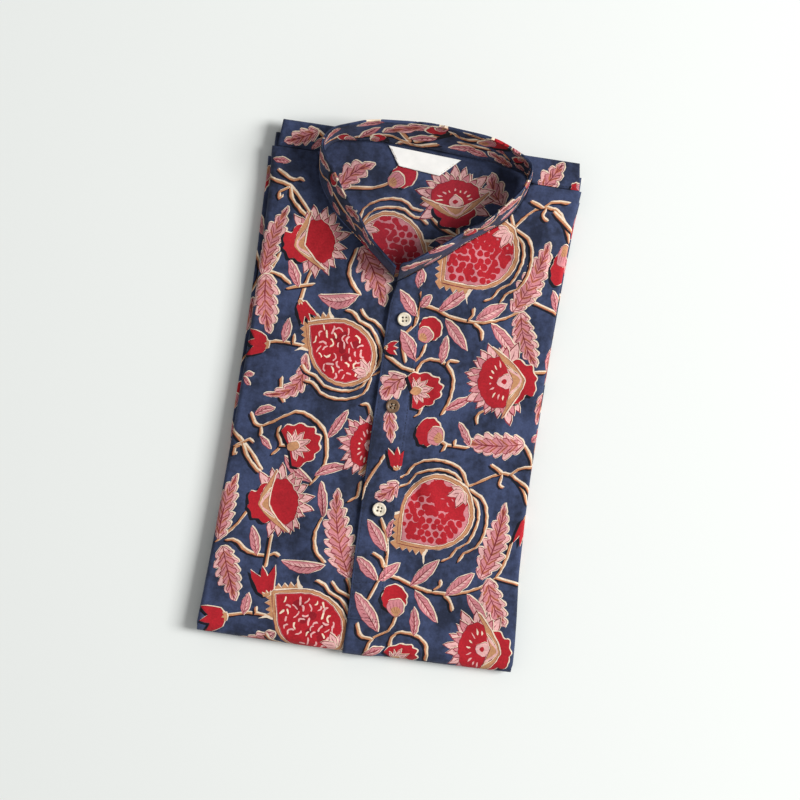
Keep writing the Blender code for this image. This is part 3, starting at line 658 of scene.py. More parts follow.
def relief(tree, strength, distance, height, below=None):
    """The shader's relief, over another one where there is one below."""
    inputs = {"Strength": strength, "Distance": distance, "Height": height}
    if below:
        inputs["Normal"] = below
    normal = node(tree, "ShaderNodeBump", inputs).outputs["Normal"]
    tree.links.new(normal, tree.nodes["Principled BSDF"].inputs["Normal"])
    return normal


def make_weave_group():
    """Plain-woven cambric: the threads' relief with slubs, and how unevenly the cloth took its dye."""
    group = bpy.data.node_groups.new("Cambric weave", "ShaderNodeTree")
    group.interface.new_socket("Threads", in_out="INPUT", socket_type="NodeSocketVector")
    for name in ("Relief", "Crumple", "Uptake", "Grain"):
        group.interface.new_socket(name, in_out="OUTPUT", socket_type="NodeSocketFloat")
    threads = group.nodes.new("NodeGroupInput").outputs["Threads"]
    out = group.nodes.new("NodeGroupOutput")
    waves = []
    for direction in ("X", "Y"):
        inputs = {"Vector": threads, "Scale": 560.0, "Distortion": 1.5, "Detail": 1.0}
        waves.append(node(group, "ShaderNodeTexWave", inputs, bands_direction=direction).outputs["Fac"])
    slub = noise(group, drawn_out(group, threads, 900.0, 60.0, 1.0), 1.0, 3.0)
    slubbed = worked_out(group, "MULTIPLY_ADD", slub, 1.2, worked_out(group, "ADD", *waves))
    group.links.new(slubbed, out.inputs["Relief"])
    inputs = {"Vector": threads, "Scale": 38.0, "Detail": 3.5, "Distortion": 0.8}
    crumple = node(group, "ShaderNodeTexNoise", inputs).outputs["Fac"]
    group.links.new(crumple, out.inputs["Crumple"])
    wide, fine = noise(group, threads, 26.0, 5.0), noise(group, threads, 190.0, 3.0)
    grain = ranged(group, noise(group, threads, 620.0, 2.5), 0.30, 0.70, 0.84, 1.14)
    group.links.new(grain, out.inputs["Grain"])
    streak = noise(group, drawn_out(group, threads, 90.0, 14.0, 1.0), 1.0, 2.0)
    uptake = worked_out(group, "MULTIPLY_ADD", wide, 1.05, worked_out(group, "MULTIPLY", fine, 0.5))
    uptake = worked_out(group, "MULTIPLY_ADD", streak, 0.35, uptake)
    group.links.new(ranged(group, uptake, 0.80, 1.10, 0.55, 1.60), out.inputs["Uptake"])
    return group


WEAVE = make_weave_group()


def make_cambric(name, fading=0.0, dull_and_painted_shade=1.0):
    """Printed cotton: each face's dye, a little uneven, over a fine weave. fading lets the ground show.

    A dimming below 1 darkens it all: partly a wrong side's duller look, partly painted shade.
    """
    material, tree, shader = started(name)
    dye = node(tree, "ShaderNodeAttribute", attribute_name="dye").outputs["Color"]
    threads = node(tree, "ShaderNodeAttribute", attribute_name="threads").outputs["Vector"]
    weave = tree.nodes.new("ShaderNodeGroup")
    weave.node_tree = WEAVE
    tree.links.new(threads, weave.inputs["Threads"])
    faded = node(tree, "ShaderNodeMix", {0: fading, 6: dye, 7: DYES["indigo"]}, data_type="RGBA").outputs[2]
    redness = node(tree, "ShaderNodeSeparateColor", {0: dye}).outputs[0]
    depth = ranged(tree, redness, 0.06, 0.30, 1.0, 0.22)
    uptake = worked_out(tree, "POWER", weave.outputs["Uptake"], depth)
    uptake = worked_out(tree, "MULTIPLY", uptake, weave.outputs["Grain"])
    # The dimming darkens the whole colour; on the inside of the back it is partly painted shade
    coloured(tree, faded, worked_out(tree, "MULTIPLY", uptake, dull_and_painted_shade))
    crumpled = relief(tree, 0.5, 0.0022, weave.outputs["Crumple"])
    relief(tree, 0.35, 0.00012, weave.outputs["Relief"], crumpled)
    shader.inputs["Roughness"].default_value = 0.82
    shader.inputs["Specular IOR Level"].default_value = 0.25
    shader.inputs["Sheen Weight"].default_value = 0.05
    shader.inputs["Sheen Roughness"].default_value = 0.5
    return material


printed_cotton = make_cambric("printed cotton")

# The fronts: two panels of one cloth, from the shoulder seams to the bottom fold and round the side folds.
# The left front laps over the right one. Soft swells and creases were left where hands folded it.
FLAT_HALF = 0.1265
BODY_HALF = 0.1340
DOME = 0.0012
LAYER_GAP = 0.0004
SEAM_GAP = 0.0003
CLOTH = 0.0012
SHEET = 0.0004
SIDE_END = FLAT_HALF + SIDE_RADIUS * math.radians(120)
BOTTOM_END = BOTTOM_FLAT - BOTTOM_RADIUS * math.radians(128)
BOTTOM_SLOPE = 0.0142
SLOPE_REACH = 0.2
SHOULDER_SEAM = 0.1875
OVERLAP_LIFT = 0.0019
UNDER_EDGE = 0.0080
NECK_REACH = 0.024
NECK_BACK = 13
# Swells, by side: each one's middle x, y, its half widths and its height
SWELLS = {
    -1: (
        (-0.050, 0.062, 0.024, 0.040, 0.0034),
        (-0.080, -0.015, 0.036, 0.050, 0.0012),
        (-0.044, -0.112, 0.024, 0.040, 0.0026),
        (-0.104, 0.118, 0.016, 0.036, 0.0018),
        (-0.074, -0.178, 0.040, 0.026, 0.0012),
    ),
    1: (
        (0.052, 0.078, 0.034, 0.036, 0.0022),
        (0.076, -0.030, 0.040, 0.054, 0.0014),
        (0.038, -0.128, 0.020, 0.044, 0.0012),
        (0.104, 0.126, 0.016, 0.030, 0.0020),
        (0.086, -0.164, 0.034, 0.034, 0.0010),
    ),
}
# The placket's strip: at each y, where its right and its left edge lie
PLACKET_EDGES = (
    (-0.1960, -0.0092, 0.0186),
    (-0.1400, -0.0112, 0.0168),
    (-0.0600, -0.0124, 0.0166),
    (0.0000, -0.0126, 0.0160),
    (0.0500, -0.0136, 0.0134),
    (0.0800, -0.0126, 0.0112),
    (0.0980, -0.0108, 0.0112),
)
# The collar band from its over end round the neck: the seam's x, y and z, and the top edge's x and y
COLLAR = (
    (-0.0105, 0.0895, 0.0240, -0.0098, 0.1030),
    (0.0020, 0.0985, 0.0238, 0.0008, 0.1055),
    (0.0230, 0.1135, 0.0225, 0.0211, 0.1212),
    (0.0455, 0.1325, 0.0210, 0.0432, 0.1385),
    (0.0575, 0.1415, 0.0205, 0.0542, 0.1470),
    (0.0706, 0.1522, 0.0198, 0.0655, 0.1575),
    (0.0800, 0.1655, 0.0190, 0.0764, 0.1716),
    (0.0855, 0.1780, 0.0180, 0.0845, 0.1840),
    (0.0875, 0.1890, 0.0178, 0.0873, 0.1945),
    (0.0835, 0.1950, 0.0178, 0.0845, 0.2020),
    (0.0720, 0.1985, 0.0178, 0.0760, 0.2085),
    (0.0540, 0.2010, 0.0172, 0.0560, 0.2165),
    (0.0280, 0.2030, 0.0154, 0.0300, 0.2210),
    (0.0000, 0.2045, 0.0148, 0.0000, 0.2225),
    (-0.0320, 0.2048, 0.0154, -0.0330, 0.2206),
    (-0.0570, 0.2035, 0.0172, -0.0590, 0.2152),
    (-0.0760, 0.2005, 0.0178, -0.0775, 0.2078),
    (-0.0868, 0.1925, 0.0178, -0.0880, 0.1980),
    (-0.0898, 0.1790, 0.0180, -0.0865, 0.1862),
    (-0.0862, 0.1625, 0.0185, -0.0762, 0.1705),
    (-0.0775, 0.1488, 0.0195, -0.0662, 0.1565),
    (-0.0692, 0.1378, 0.0200, -0.0575, 0.1452),
    (-0.0600, 0.1298, 0.0200, -0.0495, 0.1368),
    (-0.0470, 0.1200, 0.0200, -0.0385, 0.1215),
    (-0.0300, 0.1060, 0.0202, -0.0245, 0.1075),
    (-0.0135, 0.0928, 0.0205, -0.0128, 0.0988),
)
FOOT_PLACES = np.arange(6 * (len(COLLAR) - 1) + 1) / 6
FOOT = along_rows(COLLAR, FOOT_PLACES)[:, :3]
# Creases, by side: from x, y to x, y, half width and height, all in millimetres
CREASES = {
    -1: (
        (-92, 150, -112, 128, 3.2, 0.7),
        (-82, 138, -104, 112, 3.6, -0.6),
        (-72, 128, -88, 100, 3.0, 0.6),
        (-58, 118, -60, 86, 3.4, 0.8),
        (-46, 108, -40, 70, 3.0, -0.8),
        (-30, 92, -26, 52, 2.6, 0.7),
        (-24, 20, -44, -24, 4.0, -0.5),
        (-30, -60, -22, -120, 3.4, 0.6),
        (-52, -84, -40, -140, 4.4, -0.5),
        (-96, -40, -70, -64, 4.6, 0.4),
        (-118, 20, -92, 12, 4.0, 0.4),
        (-34, -150, -48, -206, 4.0, 0.5),
        (-110, -150, -84, -176, 4.4, -0.4),
        (-100, 178, -124, 136, 6.0, 0.9),
        (-88, 150, -122, 92, 7.0, 0.9),
        (-66, 128, -80, 74, 6.5, 0.8),
        (-44, 100, -52, 44, 6.5, 0.7),
        (-26, 44, -64, -6, 8.0, 0.7),
        (-26, -84, -56, -168, 8.0, 0.7),
        (-122, -60, -84, -104, 8.0, 0.6),
    ),
    1: (
        (78, 150, 104, 128, 3.6, 0.7),
        (66, 136, 96, 108, 3.4, -0.6),
        (48, 120, 66, 92, 3.6, 0.6),
        (28, 96, 44, 70, 3.0, -0.5),
        (100, 150, 118, 96, 4.0, 0.5),
        (30, 20, 48, -30, 4.4, 0.4),
        (24, -64, 40, -104, 3.2, -0.5),
        (60, -100, 88, -128, 4.6, 0.4),
        (98, 20, 120, -16, 4.4, -0.4),
        (30, -160, 58, -196, 3.8, 0.5),
        (96, -150, 116, -196, 4.4, 0.4),
        (92, 166, 126, 124, 6.5, 0.9),
        (72, 138, 112, 86, 7.0, 0.8),
        (46, 112, 74, 60, 7.0, 0.8),
        (30, 56, 62, -16, 8.0, 0.6),
        (34, -60, 72, -142, 8.5, 0.7),
        (84, 0, 124, -60, 8.0, 0.6),
    ),
}


def half_seam(side):
    """The collar seam's points on one side of the neck."""
    return FOOT[FOOT_PLACES <= NECK_BACK] if side > 0 else FOOT[FOOT_PLACES >= NECK_BACK]


def offset_neckline(side, distance):
    """The collar seam from the front end to the middle of the back, moved off the neck, as rows of x, y."""
    points = half_seam(side)[::side]
    way = np.gradient(points[:, :2], axis=0)
    way /= np.linalg.norm(way, axis=1)[:, None]
    return points[:, :2] + side * distance * np.column_stack([way[:, 1], -way[:, 0]])


def body_height(x):
    """The top of the cloth where it lies flat on the bundle."""
    return REST_HEIGHT + DOME * (1 - (x / BODY_HALF) ** 2)


def creased(rows, x, y):
    """The height that soft creases add. Each one runs straight and dies out at both ends."""
    total = np.zeros(len(x))
    for x0, y0, x1, y1, width, height in rows:
        length = math.hypot(x1 - x0, y1 - y0)
        ahead = ((x * 1000 - x0) * (x1 - x0) + (y * 1000 - y0) * (y1 - y0)) / length
        aside = ((x * 1000 - x0) * (y1 - y0) - (y * 1000 - y0) * (x1 - x0)) / length
        fade = np.sin(np.pi * np.clip(ahead / length, 0, 1))
        total += 2.3 * height / 1000 * np.exp(-((aside / width) ** 2)) * fade
    return total


def front_height(side, x, y):
    """The height of a front's face: it lies on the bundle, swells a little, and rises to the collar seam."""
    swell = 0
    for x0, y0, wide, deep, high in SWELLS[side]:
        swell = swell + high * np.exp(-(((x - x0) / wide) ** 2) - ((y - y0) / deep) ** 2)
    swell = swell + creased(CREASES[side], x, y)
    if side > 0:
        height = body_height(x) + OVERLAP_LIFT * (1 - smooth((x - 0.010) / 0.016)) + swell
    else:
        height = body_height(x) + swell * smooth((-0.015 - x) / 0.012)
    points = half_seam(side)
    reach = np.hypot(points[:, 0] - x[:, None], points[:, 1] - y[:, None])
    seam_height = points[np.argmin(reach, axis=1), 2]
    share = np.exp(-((np.min(reach, axis=1) / NECK_REACH) ** 2))
    return height + (seam_height - LAYER_GAP - height) * share


def rounded(past, radius):
    """How far out and down a cloth lies, past metres along it from where it starts to round an edge."""
    turn = np.maximum(0.0, past) / radius
    return radius * np.sin(turn), radius * (1 - np.cos(turn))


def on_front(side, u, v):
    """Where a place on a front's cloth lies. Past the folds it rounds them, at a corner only one of them."""
    bottom_turn = np.maximum(0.0, BOTTOM_FLAT - v) / BOTTOM_RADIUS
    side_radius = SIDE_RADIUS / (1 - 0.98 * smooth(bottom_turn / 0.9))
    out, drop = rounded(np.abs(u) - FLAT_HALF, side_radius)
    y = np.maximum(v, BOTTOM_FLAT)
    start = at_height(SIDE_FOLDS, y, 2 if side > 0 else 1) - SIDE_RADIUS
    x = np.copysign(np.minimum(np.abs(u), FLAT_HALF) / FLAT_HALF * start + out, u)
    reach = BOTTOM_RADIUS + front_height(side, x, y) - REST_HEIGHT - drop
    y = y + BOTTOM_SLOPE * x * smooth(-y / SLOPE_REACH) - reach * np.sin(bottom_turn)
    return np.column_stack([x, y, REST_HEIGHT - BOTTOM_RADIUS + reach * np.cos(bottom_turn)])


def flat_of_front(side, x, y):
    """The flat place on a front's cloth that lies at x, y on top of the bundle."""
    x, y = np.atleast_1d(np.asarray(x, dtype=float)), np.atleast_1d(np.asarray(y, dtype=float))
    start = at_height(SIDE_FOLDS, y, 2 if side > 0 else 1) - SIDE_RADIUS
    return np.column_stack([x * FLAT_HALF / start, y])


def front_outline(side):
    """A front's flat outline in millimetres: neckline, shoulder, side, bottom and centre edge."""
    neck = offset_neckline(side, SEAM_GAP)
    neck = neck[neck[:, 1] < SHOULDER_SEAM][::2]
    neck = flat_of_front(side, neck[:, 0], neck[:, 1])
    corner_end = side * (FLAT_HALF + 0.8 * SIDE_RADIUS)
    side_end = side * SIDE_END
    corner = [
        (neck[-1][0] + side * 0.003, SHOULDER_SEAM),
        (side_end, SHOULDER_SEAM),
        (side_end, BOTTOM_FLAT + 0.002),
        (side * (FLAT_HALF + 1.5 * SIDE_RADIUS), BOTTOM_FLAT),
        (side * (FLAT_HALF + SIDE_RADIUS), BOTTOM_FLAT - 0.0022),
        (corner_end, BOTTOM_FLAT - 0.0040),
    ]
    if side > 0:
        ys = np.linspace(-0.208, 0.084, 17)
        centre = flat_of_front(1, at_height(PLACKET_EDGES, ys, 1), ys)
    else:
        centre = np.array([(UNDER_EDGE, -0.208), (UNDER_EDGE, 0.078)])
    return 1000 * np.vstack([neck, corner, [(corner_end, BOTTOM_END), (centre[0][0], BOTTOM_END)], centre])


def lattice_lines(low, high, step, *finer):
    """Values from low to high, step apart, closer together in each finer range of (from, to, step)."""
    lines = []
    value = low
    while value < high:
        lines.append(value)
        near = [s for start, end, s in finer if start <= value < end]
        value += near[0] if near else step
    return np.array(lines)


# The motifs: a stem's places one after another, or else foot x, y, tip x, y, width and, for some, bend or
# ripeness
RIGHT_FRONT_PRINT = (
    ("fern", -126, 79, -112, 138, 17.4, 0.05),
    ("fern", -123, 79, -113, 30, 22.4, -0.05),
    ("fern", -45, 113, -19, 67, 25.2, 0.05),
    ("fern", -79, 17, -110, -21, 14.6, 0.28),
    ("fern", -126, -145, -120, -90, 17.4, 0.05),
    ("fern", -121, -151, -103, -195, 20.2, 0.0),
    ("fern", -13, -162, -34, -90, 23.8, 0.06),
    ("fern", -66, -217, -95, -228, 11.2, 0.1),
    ("leaf", -94, 73, -105, 94, 9.0),
    ("leaf", -42, 73, -76, 68, 13.4, 0.16),
    ("leaf", -100, 25, -98, 45, 7.8),
    ("leaf", -129, -9, -123, -15, 3.9),
    ("leaf", -129, -7, -121, -5, 3.9),
    ("leaf", -114, -39, -98, -31, 6.7, 0.1),
    ("leaf", -49, -49, -36, -24, 7.8),
    ("leaf", -106, -56, -96, -65, 5.0),
    ("leaf", -57, -87, -83, -69, 8.4, 0.1),
    ("leaf", -55, -82, -29, -71, 7.8, 0.1),
    ("leaf", -42, -115, -49, -86, 7.8),
    ("leaf", -35, -155, -71, -156, 11.2, 0.1),
    ("leaf", -92, -154, -100, -131, 8.4),
    ("leaf", -94, -205, -93, -187, 7.8),
    ("leaf", -128, 176, -114, 176, 5.0),
    ("stem", -114, 99, -119, 86, -130, 75),
    ("stem", -121, 82, -111, 80, -101, 74),
    ("stem", -84, 91, -88, 78, -91, 61),
    ("stem", -104, 70, -88, 75, -81, 77),
    ("stem", -49, 112, -53, 94, -49, 83, -40, 73),
    ("stem", -117, 22, -103, 25, -80, 24),
    ("stem", -91, 25, -92, 33),
    ("stem", -97, -4, -95, -19, -91, -25),
    ("stem", -118, -37, -111, -47, -102, -45, -88, -36, -77, -31, -64, -35, -53, -44, -49, -56, -48, -69,
     -52, -81, -58, -90),
    ("stem", -91, -45, -92, -51, -88, -61, -94, -70),
    ("stem", -88, -61, -76, -60),
    ("stem", -107, -48, -106, -56),
    ("stem", -142, -50, -128, -57, -120, -63, -110, -72, -100, -84),
    ("stem", -127, -67, -120, -63, -115, -60, -111, -62),
    ("stem", -121, -65, -126, -69, -126, -74, -124, -72),
    ("stem", -120, -64, -116, -72, -108, -81, -101, -86),
    ("stem", -136, 163, -127, 159, -112, 155, -98, 141, -91, 133),
    ("stem", -112, 155, -110, 146, -103, 138, -95, 132),
    ("stem", -124, 168, -111, 161, -105, 163, -101, 161),
    ("stem", -113, 154, -121, 149, -120, 144, -118, 147),
    ("stem", -106, -118, -114, -132, -128, -148),
    ("stem", -120, -145, -111, -145, -101, -152, -86, -154, -77, -151, -73, -153),
    ("stem", -83, -135, -83, -150, -83, -164),
    ("stem", -108, -208, -89, -203, -71, -204),
    ("stem", -84, -203, -85, -197),
    ("stem", -43, -115, -47, -130, -44, -144, -35, -153),
    ("stem", -26, -17, -20, -17, -15, -26),
    ("stem", -16, -81, -17, -94, -24, -99),
    ("stem", -15, -162, -9, -177, -8, -192),
    ("tulip", -91, 61, -80, 46, 14.0),
    ("tulip", -113, 21, -131, 21, 21.8),
    ("tulip", -78, -186, -85, -164, 20.2),
    ("tulip", -108, -209, -127, -215, 24.6),
    ("carnation", -77, -60, -55, -49, 36.4),
    ("lotus", -110, 104, -58, 121, 53.2),
    ("lotus", -105, -115, -55, -100, 56.0),
    ("lotus", 7, -52, -39, -48, 53.2, 1),
    ("pomegranate", -22, 8, -83, 44, 49.0, 1),
    ("pomegranate", -12, -223, -74, -182, 49.0, 1),
)
LEFT_FRONT_PRINT = (
    ("fern", 93, 79, 113, 141, 21.0, -0.05),
    ("fern", 100, 79, 121, 36, 21.0, -0.08),
    ("fern", 120, -30, 68, -35, 21.0, 0.05),
    ("fern", 97, -148, 111, -82, 21.0, -0.05),
    ("fern", 104, -148, 121, -186, 21.0, -0.08),
    ("fern", 131, 14, 129, -12, 9.0, 0.0),
    ("leaf", 74, -37, 61, -20, 6.2),
    ("leaf", 29, 70, 55, 95, 10.6),
    ("leaf", 62, 67, 86, 84, 11.8),
    ("leaf", 36, 64, 58, 41, 10.1),
    ("leaf", 76, 66, 103, 43, 10.6),
    ("leaf", 38, 27, 39, 50, 7.8),
    ("leaf", 48, -11, 68, 2, 7.8),
    ("leaf", 13, 71, 20, 82, 7.3),
    ("leaf", 131, 84, 124, 101, 7.3),
    ("leaf", 12, 92, 5, 104, 7.8),
    ("leaf", 39, -162, 60, -138, 10.6),
    ("leaf", 69, -166, 91, -145, 11.2),
    ("leaf", 87, -163, 106, -186, 10.1),
    ("leaf", 47, -203, 44, -180, 7.8),
    ("leaf", 17, -204, -6, -174, 13.0),
    ("leaf", 12, -161, 27, -145, 9.6),
    ("leaf", 43, -166, 64, -190, 9.8),
    ("leaf", 7, -225, 23, -217, 7.0),
    ("leaf", 127, -27, 132, -21, 5.0),
    ("leaf", 131, 51, 130, 35, 5.6),
    ("stem", 15, 73, 27, 71, 38, 67, 60, 65, 76, 68, 90, 74, 102, 83, 110, 93, 114, 106),
    ("stem", 56, 66, 59, 72, 58, 77),
    ("stem", 61, 64, 68, 59, 70, 51),
    ("stem", 109, 89, 119, 86, 134, 82),
    ("stem", 21, 8, 18, 17, 23, 27, 34, 29, 43, 26, 50, 17, 51, 5, 49, -6, 45, -16),
    ("stem", 43, 26, 45, 30, 53, 30),
    ("stem", 23, 6, 14, -2, 13, -11, 14, -20),
    ("stem", 27, -12, 25, -18, 22, -20),
    ("stem", 22, 41, 20, 32, 15, 25),
    ("stem", 44, -36, 53, -40, 60, -40, 73, -40),
    ("stem", 60, -35, 60, -40),
    ("stem", 53, -40, 50, -46),
    ("stem", 120, -30, 127, -39, 132, -50),
    ("stem", 116, 30, 132, 33),
    ("stem", 82, -6, 76, -12, 77, -19),
    ("stem", 76, -73, 90, -65, 103, -58, 114, -58, 124, -67, 131, -81),
    ("stem", 112, -58, 120, -51, 133, -48),
    ("stem", 94, -51, 105, -57),
    ("stem", 105, -59, 104, -67, 108, -69),
    ("stem", 115, -59, 128, -66, 135, -75),
    ("stem", 80, 147, 91, 162, 102, 169, 114, 168, 123, 158, 131, 143),
    ("stem", 102, 169, 109, 175, 123, 176),
    ("stem", 90, 173, 102, 169),
    ("stem", 104, 168, 103, 162, 108, 158),
    ("stem", 111, 167, 121, 160, 132, 152),
    ("stem", 14, -157, 26, -157, 42, -162, 56, -165, 76, -164, 95, -157, 110, -146, 117, -131, 121, -111),
    ("stem", 59, -163, 64, -158, 63, -154),
    ("stem", 68, -166, 73, -171, 76, -179),
    ("stem", 110, -146, 132, -149),
    ("stem", 31, -186, 26, -201, 13, -211, 8, -226),
    ("stem", 30, -220, 28, -211, 33, -203, 47, -203, 57, -210, 59, -225),
    ("stem", -1, -199, 3, -209, 13, -211),
    ("bud", 18, 45, 29, 62, 20.7),
    ("bud", 47, -36, 27, -28, 25.2),
    ("bud", 128, 138, 126, 107, 16.2),
    ("tulip", 131, -92, 128, -115, 12.3),
    ("bud", 30, -187, 24, -164, 21.8),
    ("carnation", 20, 1, 43, 8, 30.5),
    ("carnation", 34, -226, 51, -215, 24.0),
    ("lotus", 121, 26, 60, 11, 63.0, 1),
    ("lotus", 126, -208, 73, -206, 63.0, 1),
    ("pomegranate", 80, 147, 27, 94, 57.0),
    ("pomegranate", 76, -75, 23, -128, 57.0),
)
FOLD_LINES = 1000 * np.array([FLAT_HALF - 0.001, SIDE_END + 0.001])
BOTTOM_FOLD = (1000 * BOTTOM_END, 1000 * BOTTOM_FLAT + 2, 1.2)
for side, name, print_rows in ((-1, "front_right", RIGHT_FRONT_PRINT), (1, "front_left", LEFT_FRONT_PRINT)):
    low, high = (-1000 * SIDE_END, 1000 * UNDER_EDGE) if side < 0 else (-15.0, 1000 * SIDE_END)
    fold = sorted(side * FOLD_LINES)
    sheet, area, size = printed_sheet(
        name,
        front_outline(side),
        lattice_lines(low, high, 3.0, (*fold, 0.8)),
        lattice_lines(1000 * BOTTOM_END, 1000 * SHOULDER_SEAM, 3.0, BOTTOM_FOLD),
        lambda u, v: on_front(side, u, v),
        drawn(print_rows),
        SHEET,
        printed_cotton,
    )
    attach(sheet, "root")
    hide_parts(name)
    tuple(size)


# The button placket: a folded strip of the printed cotton on the left front, stitched down along both edges
# and squared at its foot. Its folded edges are round and a little puckered by the sewing.
PLACKET_PRINT = (
    ("leaf", 10, 63, -7, 82, 10.1),
    ("leaf", 16, 26, -1, 49, 12.6),
    ("tulip", -12, 33, -2, 34, 11.2),
    ("stem", -11, 27, 4, 19, 16, 16, 7, 9),
    ("stem", 10, 56, 4, 48, 1, 42, 7, 23),
    ("stem", 11, 84, 13, 75, 10, 55),
    ("fern", 9, 11, -9, -10, 21.0, -0.1),
    ("fern", -1, -18, 5, -45, 11.8, 0.0),
    ("tulip", 13, -66, 11, -49, 15.4),
    ("stem", -7, -70, -1, -61, 0, -56),
    ("stem", -1, -61, -11, -82, -14, -97),
    ("fern", 16, -78, -2, -93, 15.4, 0.1),
    ("leaf", 14, -136, -5, -112, 10.6),
    ("stem", 6, -109, 13, -124, 16, -147, 10, -165, 5, -179),
    ("stem", 3, -139, 10, -142, 15, -150),
    ("leaf", 10, -161, -9, -144, 10.0),
    ("leaf", 12, -161, 27, -145, 9.6),
    ("stem", 14, -157, 26, -157, 42, -162),
    ("leaf", 17, -204, -6, -174, 13.0),
    ("leaf", 14, -124, 17, -109, 7.3),
    ("bud", 30, -187, 24, -164, 21.8),
    ("leaf", 8, 87, 8, 102, 7.3),
    ("carnation", 20, 1, 43, 8, 30.5),
)
STITCH_INSET = 0.0020
STITCH_SINK = 0.00022


def lifted(place, u, v, height):
    """The points at u, v of a surface, moved out along its normal."""
    step = 0.0005
    across = place(u + step, v) - place(u - step, v)
    upward = place(u, v + step) - place(u, v - step)
    normal = np.cross(across, upward)
    normal /= np.linalg.norm(normal, axis=1)[:, None]
    return place(u, v) + normal * np.asarray(height).reshape(-1, 1)


def on_placket(u, v):
    """The placket's face. The sewing draws it in along both edges, more at some stitches than at others."""
    start = at_height(SIDE_FOLDS, v, 2) - SIDE_RADIUS
    x = u / FLAT_HALF * start
    height = np.full(len(u), LAYER_GAP + CLOTH)
    for column, hand in ((1, 1), (2, -1)):
        seam = at_height(PLACKET_EDGES, v, column) + hand * STITCH_INSET
        pucker = 0.75 + 0.25 * np.sin(v * 1250 + column * 2.0 + 1.6 * np.sin(v * 190))
        height -= STITCH_SINK * pucker * np.exp(-(((x - seam) / 0.0009) ** 2))
    return lifted(lambda a, b: on_front(1, a, b), u, v, height)


def as_piece(name, points, faces, material, slot):
    """A finished mesh of the part, riding with it."""
    mesh = bpy.data.meshes.new(name)
    mesh.from_pydata((points + CENTRING).tolist(), [], faces)
    mesh.shade_smooth()
    mesh.materials.append(material)
    piece = bpy.data.objects.new(name, mesh)
    bpy.context.scene.collection.objects.link(piece)
    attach(piece, "root")
    return piece


def threads_along(points, up, radius):
    """Round threads with closed ends, one for each row of points; up is each thread's upper side."""
    count = points.shape[1]
    way = points[:, -1] - points[:, 0]
    way /= np.linalg.norm(way, axis=1)[:, None]
    side = np.cross(way, up)
    angles = np.radians(np.arange(0, 360, 60))
    spread = np.cos(angles)[:, None] * side[:, None] + np.sin(angles)[:, None] * up[:, None]
    sizes = radius * np.minimum(1.0, 0.5 + np.minimum(np.arange(count), np.arange(count)[::-1]) * 0.45)
    rings = points[:, :, None] + sizes[:, None, None] * spread[:, None]
    faces = []
    for start in range(0, len(points) * count * 6, count * 6):
        faces.append([start + i for i in range(6)])
        faces.append([start + (count - 1) * 6 + i for i in range(5, -1, -1)])
        for ring in range(start, start + (count - 1) * 6, 6):
            faces += [(ring + i, ring + 6 + i, ring + 6 + (i + 1) % 6, ring + (i + 1) % 6) for i in range(6)]
    return rings.reshape(-1, 3), faces


STITCH_PITCH = 0.0028
STITCH_LENGTH = 0.0023
THREAD = 0.00017


def stitches(place, u, v, lift=0.0):
    """A row of stitches on a surface, along a line of flat places: the threads' points and upper sides."""
    u, v = np.array(u, dtype=float), np.array(v, dtype=float)
    gone = np.append(0.0, np.cumsum(np.hypot(np.diff(u), np.diff(v))))
    middles = np.arange(STITCH_PITCH / 2, gone[-1] - STITCH_PITCH / 2, STITCH_PITCH)
    at = (middles[:, None] + STITCH_LENGTH * np.array([-0.5, -0.36, 0.0, 0.36, 0.5])).ravel()
    u, v = np.interp(at, gone, u), np.interp(at, gone, v)
    face = lifted(place, u, v, lift)
    up = (lifted(place, u, v, lift + 0.001) - face) * (-1000 if lift < 0 else 1000)
    points = face + up * THREAD * np.tile([-1.3, 0.5, 0.9, 0.5, -1.3], len(middles))[:, None]
    return points.reshape(-1, 5, 3), up.reshape(-1, 5, 3)[:, 2]


def sewn(name, material, slot, *rows):
    """Rows of stitches as one piece."""
    points, up = (np.concatenate([row[i] for row in rows]) for i in (0, 1))
    return as_piece(name, *threads_along(points, up, THREAD), material, slot)


def make_thread(name, colour):
    """Spun sewing thread."""
    material, tree, shader = started(name)
    place = node(tree, "ShaderNodeTexCoord").outputs["Object"]
    coloured(tree, colour[:3], ranged(tree, noise(tree, place, 1500.0, 1.0), 0.3, 0.7, 0.7, 1.15))
    shader.inputs["Roughness"].default_value = 0.6
    return material


navy_thread = make_thread("navy thread", linear("1C2136"))
pale_thread = make_thread("pale thread", linear("DCCDB4"))

ys = np.linspace(PLACKET_EDGES[0][0], 0.090, 16)
placket_left = flat_of_front(1, at_height(PLACKET_EDGES, ys, 2), ys)
placket_right = flat_of_front(1, at_height(PLACKET_EDGES, ys[:-1], 1) - SEAM_GAP, ys[:-1])
placket_top = flat_of_front(1, (0.0085, 0.0010, -0.0098), (0.1022, 0.0968, 0.0893))
placket, area, size = printed_sheet(
    "placket",
    1000 * np.vstack([placket_left, placket_top, placket_right[::-1]]),
    lattice_lines(-16.0, 22.0, 0.9),
    lattice_lines(-196.0, 102.0, 1.3),
    on_placket,
    drawn(PLACKET_PRINT),
    CLOTH,
    printed_cotton,
    rounding=0.55,
)
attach(placket, "root")
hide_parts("placket")
tuple(size)

rows = []
for column, hand in ((1, 1), (2, -1)):
    vs = np.linspace(-0.1935, 0.0900 if hand > 0 else 0.0985, 60)
    line = flat_of_front(1, at_height(PLACKET_EDGES, vs, column) + hand * STITCH_INSET, vs)
    rows.append(stitches(on_placket, line[:, 0], line[:, 1]))
for left, right in (((-0.0075, -0.1653), (0.0172, -0.1615)), ((-0.0070, -0.1938), (0.0160, -0.1938))):
    line = flat_of_front(1, np.linspace(left[0], right[0], 8), np.linspace(left[1], right[1], 8))
    rows.append(stitches(on_placket, line[:, 0], line[:, 1]))
sewn("placket_stitches", navy_thread, "printed_cotton", *rows)


